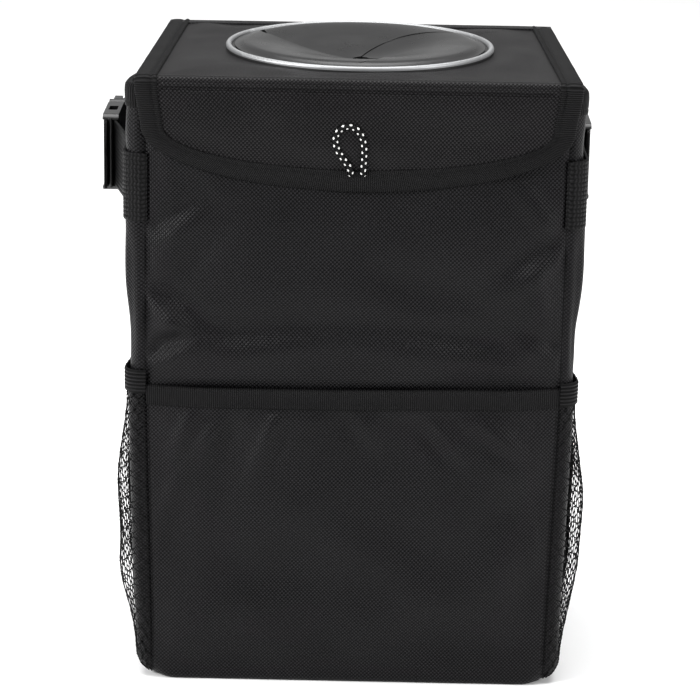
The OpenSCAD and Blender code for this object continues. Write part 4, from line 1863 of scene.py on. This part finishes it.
@dataclass
class LidCover:
    """The lid's and flap's cloth in one piece, with one run of ribbed tape round both."""

    looks: Finishes
    relief: Relief
    half_front: float
    half_back: float
    front_y: float
    back_y: float
    top: float
    lid_low: float
    out_y: float
    in_y: float
    insert_y: float
    hole_r: float
    side_drop: float = 27 * MM
    curve_drop: float = 34.5 * MM
    fold_r: float = 3.4 * MM
    tape_t: float = 0.8 * MM
    tape_w: float = 12.5 * MM
    crown: float = 0.9 * MM
    pinch: float = 3.4 * MM
    groove: float = 1.0 * MM
    groove_at: float = 6.4 * MM
    groove_w: float = 1.0 * MM
    front_count: int = 121
    side_count: int = 71
    back_count: int = 101
    rim_count: int = 109
    pucker_w: float = 5.4 * MM

    @classmethod
    def of_frame(cls, looks: Finishes, relief: Relief) -> "LidCover":
        """Reads the lid's and the flap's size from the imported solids.

        Args:
            looks: The finishes.
            relief: The settled cloth's surface.

        Returns:
            The cover.
        """
        board, flap, frame_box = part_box("lid_board"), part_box("front_flap"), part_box("insert_frame")
        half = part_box("flap_binding")[1].x
        narrower, shorter, overlap = 6.5 * MM, 1.4 * MM, 1.5 * MM
        return cls(
            looks, relief, half_front=half, half_back=half - narrower,
            front_y=board[0].y, back_y=board[1].y - shorter,
            top=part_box("lid_panel")[1].z, lid_low=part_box("lid_lining")[0].z,
            out_y=flap[0].y, in_y=flap[1].y,
            insert_y=(frame_box[0].y + frame_box[1].y) / 2,
            hole_r=(frame_box[1].x - frame_box[0].x) / 2 - overlap,
        )

    def drawn_in(self, points: Array) -> Array:
        """Draws the flap's sides in a little towards its tip.

        Args:
            points: Points of the lid and the flap.

        Returns:
            The moved points.
        """
        out = points.copy()
        share = ease(self.top - out[..., 2], 3, 30)
        out[..., 0] *= 1 - self.pinch / self.half_front * share
        return out

    def half_at(self, y: Array) -> Array:
        """Returns half of the lid's width at depth y."""
        return np.interp(y, [self.front_y, self.back_y], [self.half_front, self.half_back])

    @property
    def fold_y(self) -> float:
        """Where the lid's flat top ends and the fold starts."""
        return self.out_y + self.fold_r

    def drop(self, x: Array, inset: float) -> Array:
        """Works out how far the flap's edge hangs below the lid's top.

        Args:
            x: Distances from the middle.
            inset: How far in from the flap's edge it is.

        Returns:
            The drop at each x.
        """
        wide = self.half_front - inset
        share = np.sqrt(np.maximum(1 - (np.asarray(x) / wide) ** 2, 0))
        return self.side_drop + (self.curve_drop - inset) * share

    def outline(self, front: float, inset: float) -> tuple[Array, Array]:
        """Follows the lid's edge in plan from its front left corner, and the insert's hole.

        Args:
            front: The depth at which the edge's front runs.
            inset: How far in from the lid's sides and back the edge runs.

        Returns:
            The points of the edge, and the hole's points, one for each.
        """
        fore, back = self.half_front - inset, self.half_back - inset
        front_x = np.linspace(-fore, fore, self.front_count)[:, None]
        side_y = np.linspace(front, self.back_y, self.side_count)[:, None]
        side_x = self.half_at(side_y) - inset
        edge = np.vstack([
            stacked(front_x, front), stacked(side_x, side_y)[1:],
            stacked(np.linspace(back, -back, self.back_count)[:, None], self.back_y)[1:],
            stacked(-side_x, side_y)[-2::-1],
        ])
        centre = np.array([0, self.insert_y])
        return edge, centre + self.hole_r * unit(edge - centre)

    def top_sheet(self, made: Builder) -> Array:
        """Adds the lid's flat top round the insert's hole.

        Args:
            made: The builder to add to.

        Returns:
            The x of the points along the front fold.
        """
        edge, ring = self.outline(self.fold_y, 0.6 * MM)
        share = np.linspace(0, 1, 26)[:, None, None]
        flat = ring[None] + (edge - ring)[None] * share
        x, y = flat[..., 0], flat[..., 1]
        side = np.minimum(self.half_at(y) - np.abs(x) - self.tape_w, y - self.fold_y)
        side = np.minimum(side, self.back_y - y)
        lift = self.crown * ease(side, 0, 26) * smooth(share[..., 0], 0, 0.35)
        soft = 0.35 * MM * ripple(x, y, 0.07, 61) + 0.5 * self.relief.at(x, y - self.front_y)
        soft = soft * smooth(share[..., 0], 0, 0.4) * ease(side, 0, 14)
        z = self.top + lift + soft
        made.grid(joined(x, y, z), flat, around=True, flip=True)
        return edge[:self.front_count, 0]

    def plate(self, node: str, material: Material) -> None:
        """Makes one flat layer under the lid's cloth, narrower at the back like the lid.

        Args:
            node: The layer's solid.
            material: Its finish.
        """
        low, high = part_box(node)
        edge, ring = self.outline(low.y + 4.5 * MM, 2.2 * MM)
        loops = [(ring, high.z), (edge, high.z), (edge, low.z), (ring, low.z), (ring, high.z)]
        points = np.stack([joined(*plan.T, z) for plan, z in loops])
        made = Builder().grid(points, points[..., :2], around=True, flip=True)
        piece = made.make(f"{node}_cut", weld=True, sharp=40)
        finish_piece(piece, material, Body.LID, (node,))

    def flap_sheets(self, made: Builder, front_x: Array) -> None:
        """Adds the fold and both faces of the flap.

        Args:
            made: The builder to add to.
            front_x: The x of the points along the fold.
        """
        r = self.fold_r
        arc = np.radians(np.linspace(0, 90, 8))
        fold = joined(self.fold_y - r * np.sin(arc), self.top - r + r * np.cos(arc))
        edge = self.drop(front_x, 0.6 * MM)
        share = np.concatenate([np.linspace(0, 0.10, 16), np.linspace(0.10, 1, 52)[1:]])[:, None]
        down = r + (edge[None] - r) * share
        x = np.broadcast_to(front_x[None], down.shape)
        rim = np.minimum(self.half_front - np.abs(x), edge[None] - down) - self.tape_w
        pad = 0.8 * MM * ease(rim, -1, 16) * ease(down, 6, 20)
        soft = 0.35 * MM * ripple(x, down, 0.075, 67) + 0.55 * self.relief.at(-x, 40 * MM + down)
        pad = pad + soft * ease(rim, 0, 12) * ease(down, 7, 18)
        pad = pad + 0.5 * MM * bump(down, 3.6 * MM, 1.6 * MM) * ease(rim, -1, 4)
        pad = pad - self.groove * bump(down, self.groove_at, self.groove_w) * ease(rim, -1, 2)
        outer = joined(x, self.out_y - pad, self.top - down)
        bent = joined(front_x, fold[:, :1], fold[:, 1:])
        face = np.concatenate([bent, outer[1:]])
        bent_run = np.broadcast_to((self.fold_y - r * arc)[:, None], bent.shape[:2])
        length = np.concatenate([bent_run, self.fold_y - r * math.pi / 2 - (down[1:] - r)])
        made.grid(self.drawn_in(face), joined(front_x, length))
        back = joined(x, self.in_y, self.top - down)
        made.grid(self.drawn_in(back), joined(x, down), flip=True)

    def cloth(self) -> None:
        """Makes the cloth over the lid and flap in one piece."""
        made = Builder()
        front_x = self.top_sheet(made)
        self.flap_sheets(made, front_x)
        piece = made.make("lid_cover", weld=True)
        # The cover's material is the weave painted lighter, as painted light on the lid.
        finish_piece(piece, self.looks.lid_weave_painted_light, None, ("lid_panel", "front_flap"))
        self.bend(piece)

    def bend(self, piece: Piece) -> None:
        """Bakes a piece's placement into its mesh.

        Args:
            piece: The piece.
        """
        self.top - 6.6 * MM
        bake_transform(piece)

    def flap_rim(self, mid_y: float) -> tuple[Array, Array]:
        """Follows the flap's curved edge from its left side to its tip.

        Args:
            mid_y: The depth of the middle of the flap.

        Returns:
            The edge's points, and the inward directions there.
        """
        q = np.radians(np.linspace(180, 270, self.rim_count + 1))[1:, None]
        middle_z = self.top - self.side_drop
        rim, inner = (stacked((self.half_front - inset) * np.cos(q), mid_y,
                              middle_z + (self.curve_drop - inset) * np.sin(q))
                      for inset in (0.0, self.tape_w))
        return rim, (inner - rim) / self.tape_w

    def edge_line(self) -> tuple[Array, ...]:
        """Follows the bound edge from the lid's rear left corner round the flap.

        Returns:
            The edge's points, the inward and the outward directions, half of the thickness
            there, and how much of the stitched groove shows.
        """
        mid_z, mid_y = (self.lid_low + self.top) / 2, (self.out_y + self.in_y) / 2
        thick_lid, thick_flap = (self.top - self.lid_low) / 2, (self.in_y - self.out_y) / 2
        slope = (self.half_front - self.half_back) / (self.back_y - self.front_y)
        inward = unit(np.array([[1.0, -slope, 0.0]]))[0]
        y = np.linspace(self.back_y, self.fold_y, 200)
        side = stacked(-self.half_at(y)[:, None], y[:, None], mid_z)
        pucker = 1.15 + 0.4 * np.sin(TURN * y / self.pucker_w + 1.5 * ripple(y, y * 0, 0.02, 79))
        across, ahead = (1.0, 0.0, 0.0), (0.0, -1.0, 0.0)
        a = np.radians(np.linspace(0, 90, 12))[1:, None]
        low_z = self.top - self.fold_r
        bend = stacked(-self.half_front, self.fold_y + (mid_y - self.fold_y) * np.sin(a),
                       low_z + (mid_z - low_z) * np.cos(a))
        drop = np.linspace(self.fold_r, self.side_drop, 18)[1:, None]
        rim, rim_inward = self.flap_rim(mid_y)
        parts = [
            spread(side, inward, (0.0, 0.0, 1.0), thick_lid, pucker[:, None]),
            spread(bend, across, stacked(0.0, -np.sin(a), np.cos(a)),
                   thick_lid + (thick_flap - thick_lid) * np.sin(a), 1.0),
            spread(stacked(-self.half_front, mid_y, self.top - drop), across, ahead, thick_flap,
                   np.linspace(1, 0.35, len(drop))[:, None]),
            spread(rim, rim_inward, ahead, thick_flap,
                   np.linspace(0.35, 0.1, len(rim))[:, None]),
        ]
        left = [np.concatenate([p[k] for p in parts]) for k in range(5)]
        mirrors = 3 * [np.array([-1.0, 1.0, 1.0])] + 2 * [1.0]
        whole = [np.concatenate([values, values[:-1][::-1] * mirror])
                 for values, mirror in zip(left, mirrors)]
        return (*whole[:3], whole[3][:, 0], whole[4][:, 0])

    def tape(self) -> None:
        """Makes the ribbed tape round the lid's sides and the flap's edge."""
        line, inward, outward, half, groove = self.edge_line()
        t, w = self.tape_t / MM, self.tape_w / MM
        sections = MM * np.array([[
            [w, face - 0.75 * t], [w - 0.3, face + 0.25 * g], [w - 1.4, face + 0.6 * g],
            [w - 2.6, face + 0.25 * g], [w - 3.3, face - 0.75 * min(g, 1)],
            [w - 4.1, face + 0.15 * g], [w - 6, face + 0.4], [3, face + 0.3], [1.2, face - 0.15],
            [0.3, 0.6 * face], [0, 0], [0.3, -0.6 * face], [1.2, 0.15 - face], [4, -face],
            [w - 0.3, -face], [w, 0.75 * t - face],
        ] for face, g in zip(half / MM + t, groove)])
        run = lengths(line)
        soft = 0.22 * MM * ripple(run, run * 0, 0.04, 73)
        line = line + outward * soft[:, None]
        points, uv = sweep(line, inward, outward, sections)
        piece = Builder().grid(self.drawn_in(points), uv).make("edge_tape")
        smoother = piece.modifiers.new("soft", "SUBSURF")
        smoother.levels = smoother.render_levels = 1
        apply_modifiers(piece)
        finish_piece(piece, self.looks.tape, None,
                     ("lid_binding_left", "lid_binding_right", "flap_binding"))
        self.bend(piece)

    def build(self) -> None:
        """Makes the layers, the cover over them and its tape, and dresses the fasteners."""
        self.plate("lid_lining", self.looks.film)
        self.plate("lid_board", self.looks.board)
        self.cloth()
        self.tape()
        dress(("hook_tape", "loop_tape"), self.looks.pile)


@dataclass
class SwirlInsert:
    """The waste insert: a bright ring round a dished rubber disc cut into three petals."""

    looks: Finishes
    centre_y: float
    rubber_r: float
    rim_z: float
    crest: float = 2 * MM
    dip: float = 8.0 * MM
    crest_in: float = 8 * MM
    slit_share: float = 0.93
    slit_bend: float = 52.0
    gap: float = 0.45 * MM
    lifts: tuple[float, ...] = (0.35 * MM, 0.9 * MM, 0.8 * MM)
    sinks: tuple[float, ...] = (2.8 * MM, 0.3 * MM, 0.1 * MM)
    wedges: tuple[float, ...] = (1.0, 9.0, 2.0)
    thick: float = 1.1 * MM
    hole_r: float = 5 * MM
    petals: int = 3
    first_slit: float = 30.0

    @classmethod
    def of_frame(cls, looks: Finishes) -> "SwirlInsert":
        """Reads the insert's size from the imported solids.

        Args:
            looks: The finishes.

        Returns:
            The insert.
        """
        low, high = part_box("diaphragm")
        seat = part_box("insert_frame")[1].z
        return cls(looks, (low.y + high.y) / 2, (high.x - low.x) / 2 - 1.5 * MM, seat + 1.2 * MM)

    def rise(self, r: Array) -> Array:
        """Works out the rubber's height above its rim.

        Args:
            r: Distances from the insert's middle.

        Returns:
            The height at each of them.
        """
        crest_r = self.rubber_r - self.crest_in
        inner = -self.dip + (self.dip + self.crest) * (1 - np.cos(math.pi * r / crest_r)) / 2
        outer = self.crest * (1 + np.cos(math.pi * (r - crest_r) / self.crest_in)) / 2
        return np.where(r < crest_r, inner, outer)

    def petal(self, made: Builder, k: int) -> None:
        """Adds one petal, from one swirl slit to the next, tilted over its neighbour.

        Args:
            made: The builder to add to.
            k: The petal's number, which picks how far its edge stands up at its first slit and
                hangs down at its second, and how much wider both slits are at their outer ends.
        """
        start = self.first_slit + 360 / self.petals * k
        wedges = self.wedges[k], self.wedges[(k + 1) % self.petals]
        reach = self.slit_share * self.rubber_r
        curve_r = reach / 2 / math.sin(math.radians(self.slit_bend))
        middle_r = 12 * MM
        r = np.concatenate([np.linspace(self.hole_r, middle_r, 10), np.linspace(middle_r, reach, 40)[1:]])
        r = r[:, None]
        share = np.linspace(0, 1, 49)[None]
        twist = np.arccos(np.clip(r / 2 / curve_r, -1, 1)) - math.acos(reach / 2 / curve_r)
        widen = ease(r - reach, -17, -3) * (r < reach - 0.2 * MM)
        first, second = [self.gap * (1 + wedge * widen) / 2 / r * ease(reach - r, -1, 0.6)
                         for wedge in wedges]
        angle = math.radians(start) + first + share * (TURN / self.petals - first - second) + twist
        loose = ease(reach - r, 0, 20)
        tilt = loose * (self.lifts[k] * np.exp(-share / 0.22)
                        - self.sinks[k] * np.exp(-(1 - share) / 0.3))
        z = self.rim_z + self.rise(r) + tilt
        top = joined(r * np.cos(angle), self.centre_y + r * np.sin(angle), z)
        under = top - np.array([0, 0, self.thick])
        uv = top[..., :2]
        made.grid(top, uv, flip=True)
        made.grid(under, uv)
        for column, flip in ((0, False), (-1, True)):
            edge = np.stack([top[:, column], under[:, column]], 1)
            made.grid(edge, edge[..., :2], flip=flip)
        tip = np.stack([top[0], under[0]], 1)
        made.grid(tip, tip[..., :2], flip=True)

    def build(self) -> None:
        """Makes the disc, and dresses the ring, the frame and the clamp."""
        made = Builder()
        for k in range(self.petals):
            self.petal(made, k)
        reach = self.slit_share * self.rubber_r
        r = np.linspace(reach, self.rubber_r, 10)[:, None]
        angle = np.radians(self.first_slit + np.linspace(0, 360, 145))[None]
        rim = joined(r * np.cos(angle), self.centre_y + r * np.sin(angle), self.rim_z + self.rise(r))
        made.grid(rim, rim[..., :2], around=True, flip=True)
        made.grid(rim - np.array([0, 0, self.thick]), rim[..., :2], around=True)
        piece = made.make("swirl_disc", weld=True, sharp=50)
        finish_piece(piece, self.looks.rubber, Body.LID, ("diaphragm",))
        dress(("trim_ring",), self.looks.silver)
        dress(("insert_frame", "clamp_ring"), self.looks.frame, 0.25 * MM)


@dataclass
class CordLoop:
    """The elastic pull cord, which comes out of the flap's tape and goes back in."""

    looks: Finishes
    lid_top: float
    face_y: float
    thick: float = 3.3 * MM
    tuck: float = 1.6 * MM
    end_drop: float = 51.4 * MM
    sides: int = 14

    def route(self) -> Array:
        """Lays out the cord's middle line.

        Returns:
            Its points, from one end under the tape to the other.
        """
        across_drop = [
            (-3.9, 48.2), (-5, 46), (-8, 42), (-11, 37), (-12, 32), (-10.5, 27.5), (-6.5, 25),
            (-2, 25.5), (1.5, 29), (3.2, 34), (3.6, 40), (3.3, 46), (3.2, 48.2),
        ]
        y = self.face_y - self.thick / 2 - 0.1 * MM
        points = [(x * MM, y, self.lid_top - drop * MM) for x, drop in across_drop]
        first, last = ((x * MM, y + self.tuck, self.lid_top - self.end_drop) for x in (-3.3, 3.2))
        return curve_through(np.array([first, *points, last]), 8)

    def build(self) -> None:
        """Makes the cord."""
        line = evenly(self.route(), 0.8 * MM)
        ahead = turned(line)
        outward = np.tile([0.0, -1.0, 0.0], (len(line), 1))
        across = unit(np.cross(ahead, outward))
        outward = np.cross(across, ahead)
        a = np.linspace(0, TURN, self.sides + 1)
        section = self.thick / 2 * joined(np.cos(a), np.sin(a))
        points, uv = sweep(line, across, outward, section)
        uv[..., 1] = (a / TURN * self.thick * math.pi)[None]
        piece = Builder().tube(points, uv, line[[0, -1]], flip=True).make("pull_cord", weld=True)
        finish_piece(piece, self.looks.braid, Body.FLAP, ("cord_loop",))


def main() -> None:
    """Builds the bin in order."""
    logging.basicConfig(level=logging.INFO, format="%(name)s: %(message)s")
    studio = Studio()
    studio.camera()
    looks = Finishes()
    shape = BinShape.of_frame()
    panel_relief = SlackCloth(2 * shape.seam, shape.height, seed=3).settle()
    pocket_relief = SlackCloth(2 * shape.seam, 0.5 * shape.height, seed=8).settle()
    lid = LidCover.of_frame(looks, pocket_relief)
    CordLoop(looks, lid.top, lid.out_y).build()
    pocket_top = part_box("pocket_binding")[1].z
    BinShell(shape, looks, panel_relief, pocket_top).build()
    Trims(shape, looks).build(lid.top, lid.half_back - 1 * MM)
    FrontPocket(shape, looks, pocket_relief, pocket_top).build()
    for side, word in ((-1, "left"), (1, "right")):
        band_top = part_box(f"mesh_elastic_{word}")[1].z
        higher, fuller = (1.5 - 1.5 * side) * MM, 0.6 * side * MM
        NetPocket(shape, looks, side, band_top + higher, NetPocket.bulge + fuller).build()
    Straps(shape, looks).build()
    lid.build()
    SwirlInsert.of_frame(looks).build()
    studio.light()


if __name__ == "__main__":
    main()
